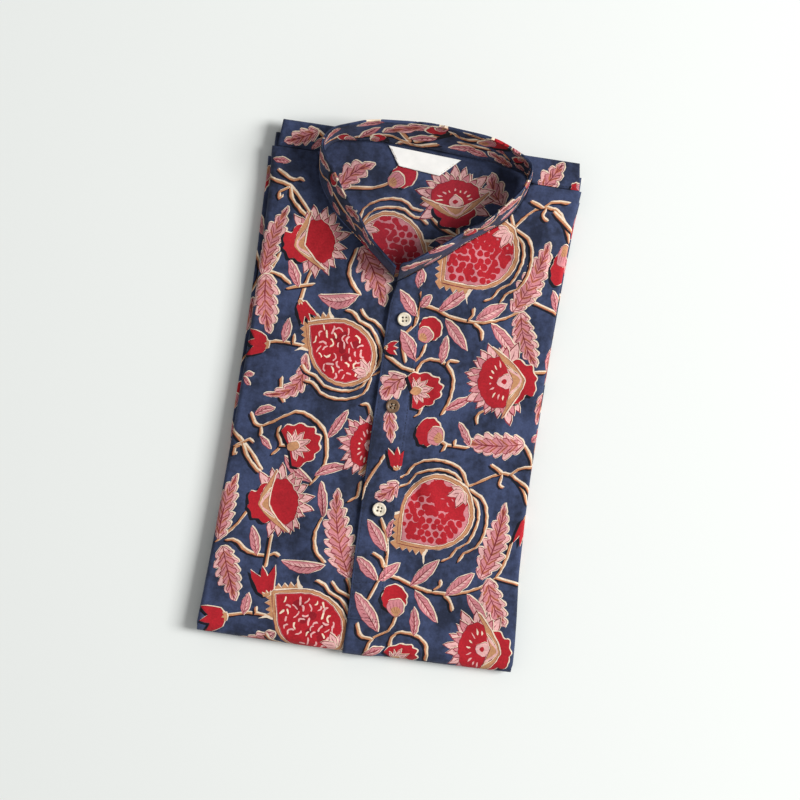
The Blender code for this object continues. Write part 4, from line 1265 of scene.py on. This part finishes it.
# The buttons: turned coconut shell, four holes, a raised rim, sewn on with thread through the holes.
# The top and bottom ones are pale; the middle one is brown.
BUTTON_RADIUS = 0.00575
BUTTON_THICKNESS = 0.0024
HOLE_RADIUS = 0.00085
HOLE_OFFSET = 0.00145
# Top and underside: from the middle outwards, how far below the rim's top each lies
BUTTON_FACE = (
    (0.0, 0.0006),
    (0.0030, 0.00055),
    (0.0036, 0.0004),
    (0.0042, 0.0001),
    (0.0047, 0.0),
    (0.0051, 0.00002),
    (0.00545, 0.00014),
    (0.00565, 0.00034),
    (0.00575, 0.0006),
)
BUTTON_UNDER = ((0.0, 0.0024), (0.0041, 0.0024), (0.0051, 0.0019), (0.00575, 0.0011))


def make_coconut(name, light, dark):
    """Polished coconut shell with short dark fibres."""
    material, tree, shader = started(name)
    place = node(tree, "ShaderNodeTexCoord").outputs["Object"]
    fibre = noise(tree, drawn_out(tree, place, 900.0, 260.0, 260.0), 1.0, 3.0)
    share = ranged(tree, fibre, 0.42, 0.72, 0.0, 0.9)
    mixed = node(tree, "ShaderNodeMix", {0: share, 6: light, 7: dark}, data_type="RGBA").outputs[2]
    tree.links.new(mixed, shader.inputs["Base Color"])
    relief(tree, 0.2, 0.0001, fibre)
    shader.inputs["Roughness"].default_value = 0.38
    return material


BUTTONS = (
    ("button_top", 0.0005, 0.0592, "pale_coconut"),
    ("button_middle", 0.0019, -0.0145, "brown_coconut"),
    ("button_bottom", 0.0036, -0.1017, "pale_coconut"),
)
SHELLS = {
    "pale_coconut": make_coconut("pale coconut", linear("EFE5D2"), linear("CDBB9B")),
    "brown_coconut": make_coconut("brown coconut", linear("7E6148"), linear("46321F")),
}


def circle(radius, count, x=0.0, y=0.0):
    """Points evenly round a circle."""
    angles = np.radians(np.linspace(0, 360, count + 1)[:-1])
    return [Vector((x + radius * math.cos(a), y + radius * math.sin(a))) for a in angles]


loops = [circle(BUTTON_RADIUS, 48)]
for x in (HOLE_OFFSET, -HOLE_OFFSET):
    loops += [circle(HOLE_RADIUS, 12, x, y) for y in (HOLE_OFFSET, -HOLE_OFFSET)]
corners = [p for loop in loops for p in loop]
ends = np.cumsum([len(loop) for loop in loops])
closed = [list(range(end - len(loop), end)) for loop, end in zip(loops, ends)]
inner = [p for radius, _ in BUTTON_FACE[1:-1] for p in circle(radius, 48)] + [Vector((0, 0))]
flat, _, pieces, _, _, owners = delaunay_2d_cdt(corners + inner, [], closed, 1, 1e-6, True)
solid = [list(piece) for piece, owner in zip(pieces, owners) if owner == [0]]
flat = np.array([tuple(p) for p in flat])
reach = np.hypot(flat[:, 0], flat[:, 1])
face_z = -np.interp(reach, *zip(*BUTTON_FACE))
under_z = -np.interp(reach, *zip(*BUTTON_UNDER))
shell = np.vstack([np.column_stack([flat, face_z]), np.column_stack([flat, under_z])])
sides = {(a, b) for piece in solid for a, b in zip(piece, piece[1:] + piece[:1])}
walls = [(a, a + len(flat), b + len(flat), b) for a, b in sides if (b, a) not in sides]
button_faces = solid + [[i + len(flat) for i in reversed(piece)] for piece in solid] + walls
# One thread through two holes and over the bridge between them, in millimetres
half_thread = [(0.0, -1.22, -2.2), (0.0, -1.12, -1.0), (0.0, -0.70, -0.46)]
thread_line = half_thread + [(0.0, 0.0, -0.40)] + [(x, -y, z) for x, y, z in reversed(half_thread)]
thread_line = np.array(thread_line) / 1000
bars = np.array([thread_line + (x, 0.0, 0.0) for x in (-0.00156, -0.00134, 0.00134, 0.00156)])
for name, x, y, slot in BUTTONS:
    u, v = flat_of_front(1, x, y).T
    face = on_placket(u, v)
    normal = (lifted(on_placket, u, v, 1.0) - face)[0]
    turn = np.array(Vector(normal).to_track_quat("Z", "Y").to_matrix())
    seat = face[0] + normal * (SEAM_GAP + BUTTON_THICKNESS + 0.0002)
    button = as_piece(name, shell @ turn.T + seat, button_faces, SHELLS[slot], slot)
    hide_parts(name)
    spots, faces = threads_along(bars @ turn.T + seat, np.tile(turn[:, 2], (4, 1)), 0.00012)
    as_piece(f"{name}_thread", spots, faces, pale_thread, "woven_label")


# The collar band: a standing band of two layers round the neck, open at the front, sewn to the neckline.
# The buttoned end is rounded at its top corner. It leans outwards where the neck was opened.
BAND_HEIGHT = 0.030
BAND_WALL = 0.0020
BAND_BOW = 0.0008
BAND_CORNER = 0.007
BAND_LENGTH = float(np.sum(np.linalg.norm(np.diff(FOOT, axis=0), axis=1)))
BAND_PRINT = (
    ("bud", 281, 0, 294, 10, 9.5),
    ("leaf", 277, 5, 264, 20, 5.6),
    ("stem", 281, 5, 261, 10, 248, 5, 238, 15, 228, 25),
    ("stem", 251, 5, 254, 0),
    ("stem", 228, 25, 221, 20, 208, 25),
    ("stem", 224, 15, 218, 15, 205, 15),
    ("bud", 211, 20, 195, 30, 10.1),
    ("leaf", 191, 30, 182, 25, 6.2),
    ("stem", 248, 5, 254, 20),
    ("leaf", 314, 30, 320, 10, 4.5),
    ("stem", 320, 25, 337, 5, 353, 15),
    ("leaf", 353, 15, 366, 10, 5.6),
    ("stem", 363, 15, 393, 15),
    ("bud", 419, 10, 429, 5, 6.2),
    ("leaf", 393, 15, 413, 10, 5.0),
    ("stem", 162, 5, 125, 25, 109, 10),
    ("leaf", 109, 10, 89, 10, 7.3),
    ("stem", 86, 0, 59, 0, 43, 0),
    ("leaf", 56, 0, 46, 0, 6.2),
    ("leaf", 36, 10, 26, 5, 6.2),
    ("fern", 4, 22, 30, 14, 9.0, 0.05),
    ("leaf", 30, 30, 44, 20, 7.0),
    ("bud", 52, 28, 60, 18, 9.0),
    ("leaf", 66, 22, 84, 28, 6.6),
    ("leaf", 70, 14, 82, 4, 6.0),
    ("fern", 88, 26, 116, 20, 10.0, 0.05),
    ("stem", 60, 24, 76, 18, 92, 26),
    ("bud", 126, 30, 132, 20, 9.0),
    ("leaf", 120, 12, 136, 6, 6.4),
    ("leaf", 140, 26, 158, 20, 6.8),
    ("fern", 164, 18, 184, 26, 9.0, 0.0),
    ("leaf", 170, 6, 184, 10, 6.0),
    ("bud", 232, 28, 240, 20, 8.6),
    ("leaf", 206, 6, 220, 10, 6.2),
    ("leaf", 262, 28, 278, 24, 6.4),
    ("fern", 292, 26, 312, 16, 9.0, 0.0),
    ("stem", 286, 12, 300, 8, 314, 12),
    ("fern", 318, 8, 346, 24, 10.0, 0.08),
    ("bud", 352, 30, 358, 20, 9.0),
    ("leaf", 360, 24, 376, 28, 6.8),
    ("leaf", 372, 6, 388, 4, 6.2),
    ("fern", 384, 22, 408, 26, 9.4, 0.0),
    ("stem", 400, 8, 414, 22, 430, 26),
    ("leaf", 414, 28, 428, 20, 6.6),
    ("stem", 190, 12, 206, 24, 222, 28),
    ("stem", 234, 8, 246, 2, 258, 10, 272, 8),
    ("stem", 140, 10, 152, 2, 168, 4),
    ("fern", 240, 26, 262, 14, 9.0, 0.04),
    ("fern", 186, 3, 206, 12, 8.4, 0.0),
    ("leaf", 236, 14, 248, 9, 6.0),
    ("leaf", 214, 12, 228, 7, 6.0),
    ("leaf", 196, 16, 206, 25, 5.6),
    ("leaf", 146, 8, 160, 13, 6.0),
    ("bud", 178, 24, 186, 14, 8.6),
    ("bud", 268, 2, 262, 9, 7.8),
)


def on_band(s, h):
    """The collar band's outer face, s along it from the placket end and h up from its seam."""
    last = len(COLLAR) - 1
    row = along_rows(COLLAR, s / BAND_LENGTH * last)
    lean = np.hypot(row[:, 3] - row[:, 0], row[:, 4] - row[:, 1])
    rise = np.sqrt(BAND_HEIGHT**2 - np.minimum(lean, 0.9 * BAND_HEIGHT) ** 2)
    up = np.column_stack([row[:, 3] - row[:, 0], row[:, 4] - row[:, 1], rise])
    share = (h / BAND_HEIGHT)[:, None]
    ahead = along_rows(COLLAR, np.minimum(s / BAND_LENGTH * last + 0.05, last))
    behind = along_rows(COLLAR, np.maximum(s / BAND_LENGTH * last - 0.05, 0))
    way = np.column_stack([ahead[:, :2] - behind[:, :2], np.zeros(len(s))])
    outward = np.cross(way, up)
    outward /= np.linalg.norm(outward, axis=1)[:, None]
    wave = 0.00035 * np.sin(s * 170 + 2.1 * np.sin(s * 23)) * (0.3 + (h / BAND_HEIGHT))
    return row[:, :3] + up * share + outward * (BAND_BOW * 4 * share * (1 - share) + wave[:, None])


turns = np.radians(np.linspace(0, 90, 7))
ends_at = BAND_CORNER * (1 - np.sin(turns))
corner = np.column_stack([ends_at, BAND_HEIGHT - BAND_CORNER * (1 - np.cos(turns))])
band_outline = np.vstack([[(0.0, 0.0), (BAND_LENGTH, 0.0), (BAND_LENGTH, BAND_HEIGHT)], corner])
band, area, size = printed_sheet(
    "collar_band",
    1000 * band_outline,
    lattice_lines(0.0, 1000 * BAND_LENGTH, 1.8),
    lattice_lines(0.0, 1000 * BAND_HEIGHT, 1.8),
    on_band,
    drawn(BAND_PRINT),
    BAND_WALL,
    printed_cotton,
    rounding=0.7,
)
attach(band, "root")
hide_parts("collar_band")
tuple(size)
along = np.linspace(0.004, BAND_LENGTH - 0.004, 300)
rows = []
for height in (0.0026, 0.0272):
    rows += [stitches(on_band, along, np.full(300, height), lift) for lift in (0.0, -BAND_WALL)]
sewn("collar_stitches", navy_thread, "printed_cotton", *rows)


# The yoke's ends: they wrap over both shoulders and are joined to the fronts at the shoulder seams.
# One layer of the printed cotton, folded over the top of the bundle.
YOKE_SIDES = (
    (0.1860, 0.1270, 0.1298),
    (0.1980, 0.1262, 0.1286),
    (0.2120, 0.1252, 0.1268),
)
YOKE_FOLD = 0.2085
YOKE_RADIUS = 0.0026
YOKE_RETURN = 0.0035
YOKE_INNER = 0.0620
YOKE_PRINT = {
    -1: (
        ("fern", -96, 205, -122, 192, 13.4, 0.05),
        ("stem", -96, 205, -85, 198),
        ("leaf", -88, 201, -98, 189, 5.0),
    ),
    1: (
        ("fern", 94, 182, 113, 209, 15.4, 0.0),
        ("bud", 130, 192, 122, 184, 14.0),
        ("stem", 87, 177, 94, 182),
    ),
}


def on_yoke(side, u, v):
    """The yoke's end: over the shoulder, round the fold at the top and back under."""
    y_out, fold_drop = rounded(v - YOKE_FOLD, YOKE_RADIUS)
    back = np.maximum(0.0, v - YOKE_FOLD - math.pi * YOKE_RADIUS)
    y_out, fold_drop = np.where(back > 0, 0.0, y_out), np.where(back > 0, 2 * YOKE_RADIUS, fold_drop)
    y = np.minimum(v, YOKE_FOLD) + y_out - back
    x = u / FLAT_HALF * at_height(YOKE_SIDES, y, 2 if side > 0 else 1)
    return np.column_stack([x, y, body_height(x) - fold_drop])


YOKE_FRONT = SHOULDER_SEAM + SEAM_GAP + 0.0002
YOKE_END = YOKE_FOLD + math.pi * YOKE_RADIUS + YOKE_RETURN
for side, name in ((-1, "yoke_right"), (1, "yoke_left")):
    scale = FLAT_HALF / at_height(YOKE_SIDES, np.array([0.2]), 2 if side > 0 else 1)[0]
    neck = offset_neckline(side, SEAM_GAP)
    neck = np.column_stack([np.abs(neck[:, 0]), neck[:, 1]])
    neck = neck[(neck[:, 0] > YOKE_INNER) & (neck[:, 1] > YOKE_FRONT)][::2] * (scale, 1)
    rest = [(YOKE_INNER * scale, neck[-1][1] + 0.001), (YOKE_INNER * scale, YOKE_END), (FLAT_HALF, YOKE_END)]
    rest += [(FLAT_HALF, YOKE_FRONT), (neck[0][0] + 0.003, YOKE_FRONT)]
    yoke, area, size = printed_sheet(
        name,
        1000 * np.vstack([neck, rest]) * (side, 1),
        lattice_lines(*sorted((side * 1000 * YOKE_INNER, side * 1000 * FLAT_HALF)), 2.4),
        lattice_lines(1000 * YOKE_FRONT, 1000 * YOKE_END, 2.4, (1000 * YOKE_FOLD - 1, 1000 * YOKE_END, 0.7)),
        lambda u, v: on_yoke(side, u, v),
        drawn(YOKE_PRINT[side]),
        SHEET,
        printed_cotton,
    )
    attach(yoke, "root")
    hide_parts(name)
    tuple(size)
    along = np.linspace(neck[0][0] + 0.006, FLAT_HALF - 0.003, 30) * side
    row = stitches(lambda u, v: on_yoke(side, u, v), along, np.full(30, YOKE_FRONT + 0.0018))
    sewn(f"{name}_stitches", navy_thread, "printed_cotton", row)


# The back, seen through the neck opening from its inside, where the print has come through a little paler.
# Its cloth is also dimmed a little: partly the wrong side's duller look, partly painted shade in the neck's
# hollow.
# It lies on the hidden layers and rises to the collar seam.
BACK_TOP = 0.0126
BACK_RISE = 0.0014
BACK_HALF = 0.1030
BACK_LOW = 0.0720
BACK_HIGH = 0.2005
BACK_PRINT = (
    ("lotus", 32, 143, 23, 192, 60.2, 1),
    ("bud", -28, 171, -10, 185, 20.2),
    ("fern", -71, 160, -44, 185, 16.8, 0.1),
    ("stem", -70, 161, -42, 165, -27, 172),
    ("leaf", 40, 131, 16, 129, 8.4),
    ("fern", 67, 167, 55, 192, 17.4, 0.1),
    ("stem", 32, 143, 38, 132, 58, 124),
    ("pomegranate", -48, 130, 15, 106, 49.0),
    ("stem", -64, 145, -56, 135, -48, 130),
    ("stem", 8, 150, 18, 141, 39, 132),
    ("leaf", -64, 139, -77, 160, 8.4),
    ("tulip", 76, 161, 70, 148, 14.0),
    ("stem", 70, 148, 59, 135, 58, 124),
)
BACK_CREASES = (
    (-60, 170, -30, 140, 4.0, 0.5),
    (-40, 186, -46, 150, 3.4, -0.4),
    (10, 176, 0, 140, 4.4, 0.4),
    (50, 170, 44, 130, 4.0, -0.4),
    (-20, 160, 10, 120, 5.0, 0.4),
)


def on_back(x, y):
    """The inside of the back, which lies on the hidden layers and rises to the collar seam."""
    rise = smooth((y - 0.165) / 0.035) * (1 - smooth((np.abs(x) - 0.055) / 0.03))
    return np.column_stack([x, y, BACK_TOP + BACK_RISE * rise + creased(BACK_CREASES, x, y)])


# Dimmed a little: painted shade in the neck's hollow, with the wrong side's duller look
inner_cotton = make_cambric("printed cotton, inside", fading=0.14, dull_and_painted_shade=0.92)
seam = FOOT[::3]
seam = seam[(np.abs(seam[:, 0]) < YOKE_INNER - 0.004) & (seam[:, 1] > 0.19)][:, :2]
below = [(-BACK_HALF, BACK_HIGH), (-BACK_HALF, BACK_LOW), (BACK_HALF, BACK_LOW), (BACK_HALF, BACK_HIGH)]
back, area, size = printed_sheet(
    "back",
    1000 * np.vstack([seam, below]),
    lattice_lines(-103.0, 103.0, 3.0),
    lattice_lines(72.0, 205.0, 3.0),
    on_back,
    drawn(BACK_PRINT),
    SHEET,
    inner_cotton,
)
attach(back, "root")
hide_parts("back")
tuple(size)


# The label: a small plain strip of white satin weave, its slanting ends folded under, caught in the back
# neck seam and sewn down at both ends.
LABEL_WALL = 0.0010
LABEL_OUTLINE = ((-34.5, 202.0), (-23.5, 186.2), (11.5, 182.8), (28.0, 198.8))


def on_label(x, y):
    """The label's face, lying on the inside of the back and curling a little at its lower edge."""
    curl = 0.0005 * smooth((0.1925 - y) / 0.008) * (1 + np.sin(x * 140))
    return on_back(x, y) + np.column_stack([0 * x, 0 * x, SEAM_GAP + LABEL_WALL + curl])


def make_satin(name):
    """White satin weave: fine ribs along the strip."""
    material, tree, shader = started(name)
    dye = node(tree, "ShaderNodeAttribute", attribute_name="dye").outputs["Color"]
    threads = node(tree, "ShaderNodeAttribute", attribute_name="threads").outputs["Vector"]
    inputs = {"Vector": threads, "Scale": 420.0, "Distortion": 0.6}
    ribs = node(tree, "ShaderNodeTexWave", inputs, bands_direction="Y").outputs["Fac"]
    coloured(tree, dye, ranged(tree, noise(tree, threads, 160.0, 3.0), 0.3, 0.7, 0.95, 1.01))
    relief(tree, 0.4, 0.00015, ribs)
    shader.inputs["Roughness"].default_value = 0.5
    return material


label, area, size = printed_sheet(
    "label",
    np.array(LABEL_OUTLINE),
    lattice_lines(-35.0, 29.0, 1.6),
    lattice_lines(182.0, 203.0, 1.6),
    on_label,
    [],
    LABEL_WALL,
    make_satin("white satin"),
    rounding=0.5,
    ground="label",
)
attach(label, "root")
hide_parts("label")
tuple(size)
edge = np.array(LABEL_OUTLINE) / 1000
rows = []
for a, b, aside in ((edge[0], edge[1], (0.0014, 0.0002)), (edge[2], edge[3], (-0.0014, 0.0002))):
    line = np.linspace(a, b, 8)[1:-1] + aside
    rows.append(stitches(on_label, line[:, 0], line[:, 1]))
sewn("label_stitches", pale_thread, "woven_label", *rows)


# The sleeves: of the printed cotton, folded in behind the fronts. Only the rounded edge of each one's fold
# shows past the side folds.
# At each y, how far the right and the left one show past them
SLEEVE_EDGES = (
    (-0.1000, -0.0030, -0.0020),
    (-0.0500, 0.0022, 0.0006),
    (0.0500, 0.0036, 0.0012),
    (0.1400, 0.0042, 0.0014),
    (0.1790, 0.0030, 0.0010),
)
SLEEVE_RADIUS = 0.0016
SLEEVE_MIDDLE = 0.00745
SLEEVE_DEPTH = 0.0115
SLEEVE_PRINT = (
    ("bud", 2, 168, -3, 148, 9.0),
    ("leaf", -4, 132, 4, 112, 7.0),
    ("stem", -10, 104, 0, 96, 6, 80, 0, 62),
    ("fern", 3, 58, -3, 22, 9.0, 0.0),
    ("stem", 8, 14, 0, 4, -6, -10),
    ("bud", 0, -34, 3, -14, 10.0),
    ("leaf", -5, -44, 4, -62, 7.0),
    ("lotus", 8, -96, -6, -64, 20.0),
)


def on_sleeve(side, u, v):
    """A sleeve's folded edge: u runs along the upper layer, round the fold and back along the lower one."""
    column = 2 if side > 0 else 1
    edge = at_height(SIDE_FOLDS, v, column) + at_height(SLEEVE_EDGES, v, column)
    half_turn = math.pi * SLEEVE_RADIUS / 2
    layer = np.maximum(0.0, np.abs(u) - half_turn)
    turn = np.minimum(np.abs(u), half_turn) / SLEEVE_RADIUS
    x = edge - SLEEVE_RADIUS + SLEEVE_RADIUS * np.cos(turn) - layer
    return np.column_stack([side * x, v, SLEEVE_MIDDLE + np.copysign(SLEEVE_RADIUS * np.sin(turn), u)])


for side, name in ((-1, "sleeve_right"), (1, "sleeve_left")):
    low, high, deep = 1000 * SLEEVE_EDGES[0][0], 1000 * SLEEVE_EDGES[-1][0], 1000 * SLEEVE_DEPTH
    sleeve, area, size = printed_sheet(
        name,
        np.array([(-deep, low), (deep, low), (deep, high), (-deep, high)]),
        lattice_lines(-deep, deep, 3.0, (-3.0, 3.0, 0.6)),
        lattice_lines(low, high, 3.0),
        lambda u, v: on_sleeve(side, -side * u, v),
        drawn(SLEEVE_PRINT),
        SHEET,
        printed_cotton,
    )
    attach(sleeve, "root")
    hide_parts(name)
    tuple(size)


# The tail: the garment's lower half, folded up behind. It is what the folded tunic lies on, outside down,
# and it goes round a fold of its own along both sides. Its print is upside down.
TAIL_DYES = ("resist", "tan", "pink", "blush", "red", "crimson")
TAIL_BOTTOM_RADIUS = 0.0081
TAIL_BOTTOM_DRAW = 0.0009
TAIL_FLAT = 0.1235
TAIL_END = TAIL_FLAT + math.pi * TAIL_RADIUS + 0.0095
TAIL_TOP = 0.2005
TAIL_START = BOTTOM_FLAT + 0.0010


def on_tail(u, v):
    """The tail's outer face: flat underneath, round the side folds, and up inside the bottom fold."""
    past = np.maximum(0.0, np.abs(u) - TAIL_FLAT)
    turn = np.minimum(past / TAIL_RADIUS, math.pi)
    layer = np.maximum(0.0, past - math.pi * TAIL_RADIUS)
    y = np.maximum(v, BOTTOM_FLAT)
    edge = np.where(u < 0, at_height(SIDE_FOLDS, y, 2), at_height(SIDE_FOLDS, y, 1))
    edge = edge - TAIL_INSET - TAIL_RADIUS
    across = np.minimum(np.abs(u), TAIL_FLAT) / TAIL_FLAT * edge
    x = -np.sign(u) * (across + TAIL_RADIUS * np.sin(turn) - layer)
    bottom_turn = np.maximum(0.0, BOTTOM_FLAT - v) / TAIL_BOTTOM_RADIUS
    radius = TAIL_BOTTOM_RADIUS - TAIL_BOTTOM_DRAW * smooth(bottom_turn / 0.7)
    y = y + BOTTOM_SLOPE * x * smooth(-y / SLOPE_REACH) - radius * np.sin(bottom_turn)
    rise = np.where(bottom_turn > 0, TAIL_BOTTOM_RADIUS - radius * np.cos(bottom_turn), 0.0)
    return np.column_stack([x, y, TAIL_RADIUS * (1 - np.cos(turn)) + rise])


tail_shapes = [row for row in drawn(RIGHT_FRONT_PRINT) if row[0][:, 0].mean() < -2]
tail_shapes += [row for row in drawn(LEFT_FRONT_PRINT) if row[0][:, 0].mean() > -2]
tail_shapes = [(outline * (-1, -1), dye) for outline, dye in tail_shapes if dye in TAIL_DYES]
inset, end = TAIL_FLAT - 0.001, BOTTOM_FLAT - 0.0088
tail_outline = [(-inset, end), (inset, end), (inset, TAIL_START), (TAIL_END, TAIL_START)]
tail_outline += [(TAIL_END, TAIL_TOP), (-TAIL_END, TAIL_TOP), (-TAIL_END, TAIL_START), (-inset, TAIL_START)]
fold = (1000 * TAIL_FLAT - 1, 1000 * (TAIL_FLAT + math.pi * TAIL_RADIUS) + 1, 0.8)
tail, area, size = printed_sheet(
    "tail",
    1000 * np.array(tail_outline),
    lattice_lines(-1000 * TAIL_END, 1000 * TAIL_END, 5.0, (-fold[1], -fold[0], 0.8), fold),
    lattice_lines(1000 * end, 1000 * TAIL_TOP, 5.0, (1000 * end, 1000 * BOTTOM_FLAT + 2, 1.2)),
    on_tail,
    tail_shapes,
    SHEET,
    printed_cotton,
)
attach(tail, "root")
tuple(size)


# The layers at the top end: the back and the lower half are folded there, one inside the other.
# Each shows a soft rounded fold between the yoke and the tail.
# Each layer's height, its edge and its fold's radius
END_LAYERS = (
    (0.0018, 0.2035, 0.0011),
    (0.0044, 0.2052, 0.0012),
    (0.0068, 0.2030, 0.0010),
    (0.0091, 0.2046, 0.0011),
)
END_HALF = 0.1235
END_DEPTH = 0.0130
END_PRINT = (
    ("stem", -110, -6, -96, 4, -82, -3, -70, 5),
    ("leaf", -88, 1, -70, -3, 8.0),
    ("bud", -52, 4, -42, -5, 10.0),
    ("stem", -30, -8, -12, 3, 6, -2, 20, 6),
    ("leaf", 14, 2, 34, -4, 8.0),
    ("lotus", 48, 0, 78, -4, 26.0),
    ("stem", 84, -5, 100, 4, 116, -2),
)


def on_end_layer(middle, edge, radius, u, v):
    """A folded layer at the top end: u runs across, v over the upper leaf, round the fold and under."""
    quarter = math.pi * radius / 2
    turn = np.minimum(np.abs(v), quarter) / radius
    leaf_reach = np.maximum(0.0, np.abs(v) - quarter)
    bow = 0.0012 * np.cos(u * 19 + edge * 9000)
    rise = middle + 0.0003 * np.sin(u * 60 + edge * 7000)
    y = edge + bow - radius + radius * np.cos(turn) - leaf_reach
    return np.column_stack([u, y, rise - np.copysign(radius * np.sin(turn), v)])


for number, (middle, edge, radius) in enumerate(END_LAYERS):
    deep = 1000 * END_DEPTH
    half = 1000 * END_HALF - 2.0 * (number % 2)
    turned, moved = (1 if number % 2 else -1, 1), (9.0 * number, 0.0)
    shapes = [(outline * turned + moved, dye) for outline, dye in drawn(END_PRINT)]
    layer, area, size = printed_sheet(
        f"end_layer_{number + 1}",
        np.array([(-half, -deep), (half, -deep), (half, deep), (-half, deep)]),
        lattice_lines(-half, half, 4.0),
        lattice_lines(-deep, deep, 4.0, (-2.4, 2.4, 0.5)),
        lambda u, v: on_end_layer(middle, edge, radius, u, v),
        shapes,
        SHEET,
        printed_cotton,
    )
    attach(layer, "root")
    tuple(size)


# The hidden layers: everything else that is folded inside, as one soft block of layered cotton. It fills the
# space between the fronts and the tail, and has a groove along each side for the sleeve.
GROOVE_DEPTH = 0.0140
GROOVE_FLOOR = 0.0048
GROOVE_CEILING = 0.0096
LOWER_LOBE = 0.0021
LOBE_RADIUS = 0.0026
LOBE_MIDDLE = 0.0126
BLOCK_HEIGHT = 0.0144
HOLLOW_TOP = 0.0108
HOLLOW_EDGE = 0.1050
HOLLOW_START = 0.054
BLOCK_GAP = 0.0022
BLOCK_END_RADIUS = 0.0067
# The block's top end: each section's y, how far it is off the floor and below the top, and how much narrower
TOP_END = ((0.1870, 0.0, 0.0, 0.0068), (0.1930, 0.0004, 0.0004, 0.0080), (0.1960, 0.0024, 0.0030, 0.0100))


def lobe_points(x, z, radius):
    """Half a circle round a place, open towards the middle of the block."""
    turns = np.linspace(-math.pi / 2, math.pi / 2, 7)
    return [(x + radius * math.cos(turn), z + radius * math.sin(turn)) for turn in turns]


def block_ring(y, low, high, inset):
    """One section across the block: the tail's fold, the groove, the fronts' fold and the top."""
    ring = []
    for side, column in ((1, 2), (-1, 1)):
        edge = at_height(SIDE_FOLDS, np.array([y]), column)[0] - inset
        half = lobe_points(edge - TAIL_INSET - TAIL_RADIUS, TAIL_RADIUS, LOWER_LOBE)
        half += [(edge - GROOVE_DEPTH, GROOVE_FLOOR), (edge - GROOVE_DEPTH, GROOVE_CEILING)]
        half += lobe_points(edge - SIDE_RADIUS, LOBE_MIDDLE, LOBE_RADIUS)
        for x in (HOLLOW_EDGE + 0.009, HOLLOW_EDGE + 0.001, HOLLOW_EDGE - 0.012, 0.065, 0.03):
            top = body_height(x) - BLOCK_GAP
            sink = smooth((y - HOLLOW_START) / 0.014) if x < HOLLOW_EDGE + 0.005 else 0.0
            half.append((x, top + (HOLLOW_TOP - top) * sink))
        ring += [(side * x, low + z / BLOCK_HEIGHT * (high - low)) for x, z in half[::side]]
    slope = BOTTOM_SLOPE * smooth(-y / SLOPE_REACH)
    return [(x, y + slope * x, z) for x, z in ring]


rings = []
for past, inset in ((0.0054, 0.0040), (0.0046, 0.0036), (0.0034, 0.0030), (0.0016, 0.0028)):
    reach = math.sqrt(BLOCK_END_RADIUS**2 - past**2)
    low, high = TAIL_BOTTOM_RADIUS - reach, TAIL_BOTTOM_RADIUS + reach
    rings.append(block_ring(BOTTOM_FLAT - past, low, high, inset))
below_neck = np.linspace(BOTTOM_FLAT + 0.004, HOLLOW_START, 18)
for y in [*below_neck, 0.0575, 0.061, 0.0645, 0.068, *np.linspace(0.082, 0.184, 8)]:
    rings.append(block_ring(y, 0.0, BLOCK_HEIGHT, 0.0))
for y, low, drop, inset in TOP_END:
    rings.append(block_ring(y, low, BLOCK_HEIGHT - drop, inset))
block = bmesh.new()
loops = [[block.verts.new(np.array(p) + CENTRING) for p in ring] for ring in rings]
for near, far in zip(loops, loops[1:]):
    for i in range(len(near)):
        j = (i + 1) % len(near)
        block.faces.new((near[i], near[j], far[j], far[i]))
block.faces.new(loops[0][::-1])
block.faces.new(loops[-1])
bmesh.ops.recalc_face_normals(block, faces=block.faces)
mesh = bpy.data.meshes.new("folded_layers")
block.to_mesh(mesh)
block.free()
mesh.shade_smooth()
layered_cotton, tree, shader = started("layered cotton")
place = node(tree, "ShaderNodeTexCoord").outputs["Object"]
inputs = {"Vector": place, "Scale": 160.0, "Distortion": 3.0, "Detail Scale": 0.4}
leaves = node(tree, "ShaderNodeTexWave", inputs, bands_direction="Z", wave_profile="SIN").outputs["Fac"]
# The colour darkens in bands, most in the grooves between the layers: painted shade in the gaps where one
# layer lies on the next
coloured(tree, DYES["indigo"][:3], ranged(tree, leaves, 0.0, 1.0, 0.35, 1.0))
relief(tree, 0.5, 0.0005, leaves)
shader.inputs["Roughness"].default_value = 0.85
mesh.materials.append(layered_cotton)
layers = bpy.data.objects.new("hidden_layers", mesh)
bpy.context.scene.collection.objects.link(layers)
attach(layers, "root")
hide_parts("folded_layers")


# Floor, light and camera. The garment lies on a pale matt floor and is seen straight down from above, lit by
# one large window on its left side and by a white room.
bpy.ops.mesh.primitive_plane_add(size=6.0)
floor = bpy.context.object
floor.name = "floor"
paper, _, shader = started("pale floor")
shader.inputs["Base Color"].default_value = linear("EAEDEA")
shader.inputs["Roughness"].default_value = 0.9
floor.data.materials.append(paper)
key = bpy.data.lights.new("window", "AREA")
key.shape = "RECTANGLE"
key.size, key.size_y = 1.7, 2.2
key.energy = 258
window = bpy.data.objects.new("window", key)
window.location = (3.5, 0.8, 3.0)
window.rotation_euler = (Vector((0, 0, 0)) - window.location).to_track_quat("-Z", "Y").to_euler()
bpy.context.scene.collection.objects.link(window)
world = bpy.data.worlds.new("pale room")
world.use_nodes = True
background = world.node_tree.nodes["Background"]
background.inputs["Color"].default_value = (1.0, 1.0, 1.0, 1.0)
background.inputs["Strength"].default_value = 0.36
bpy.context.scene.world = world
bpy.context.scene.view_settings.view_transform = "Standard"
lens_data = bpy.data.cameras.new("above")
lens_data.lens = 85.7
camera = bpy.data.objects.new("above", lens_data)
camera.location = (0.0070, -0.0062, 1.618)
camera.rotation_euler = (0, 0, math.radians(8.6))
bpy.context.scene.collection.objects.link(camera)
bpy.context.scene.camera = camera
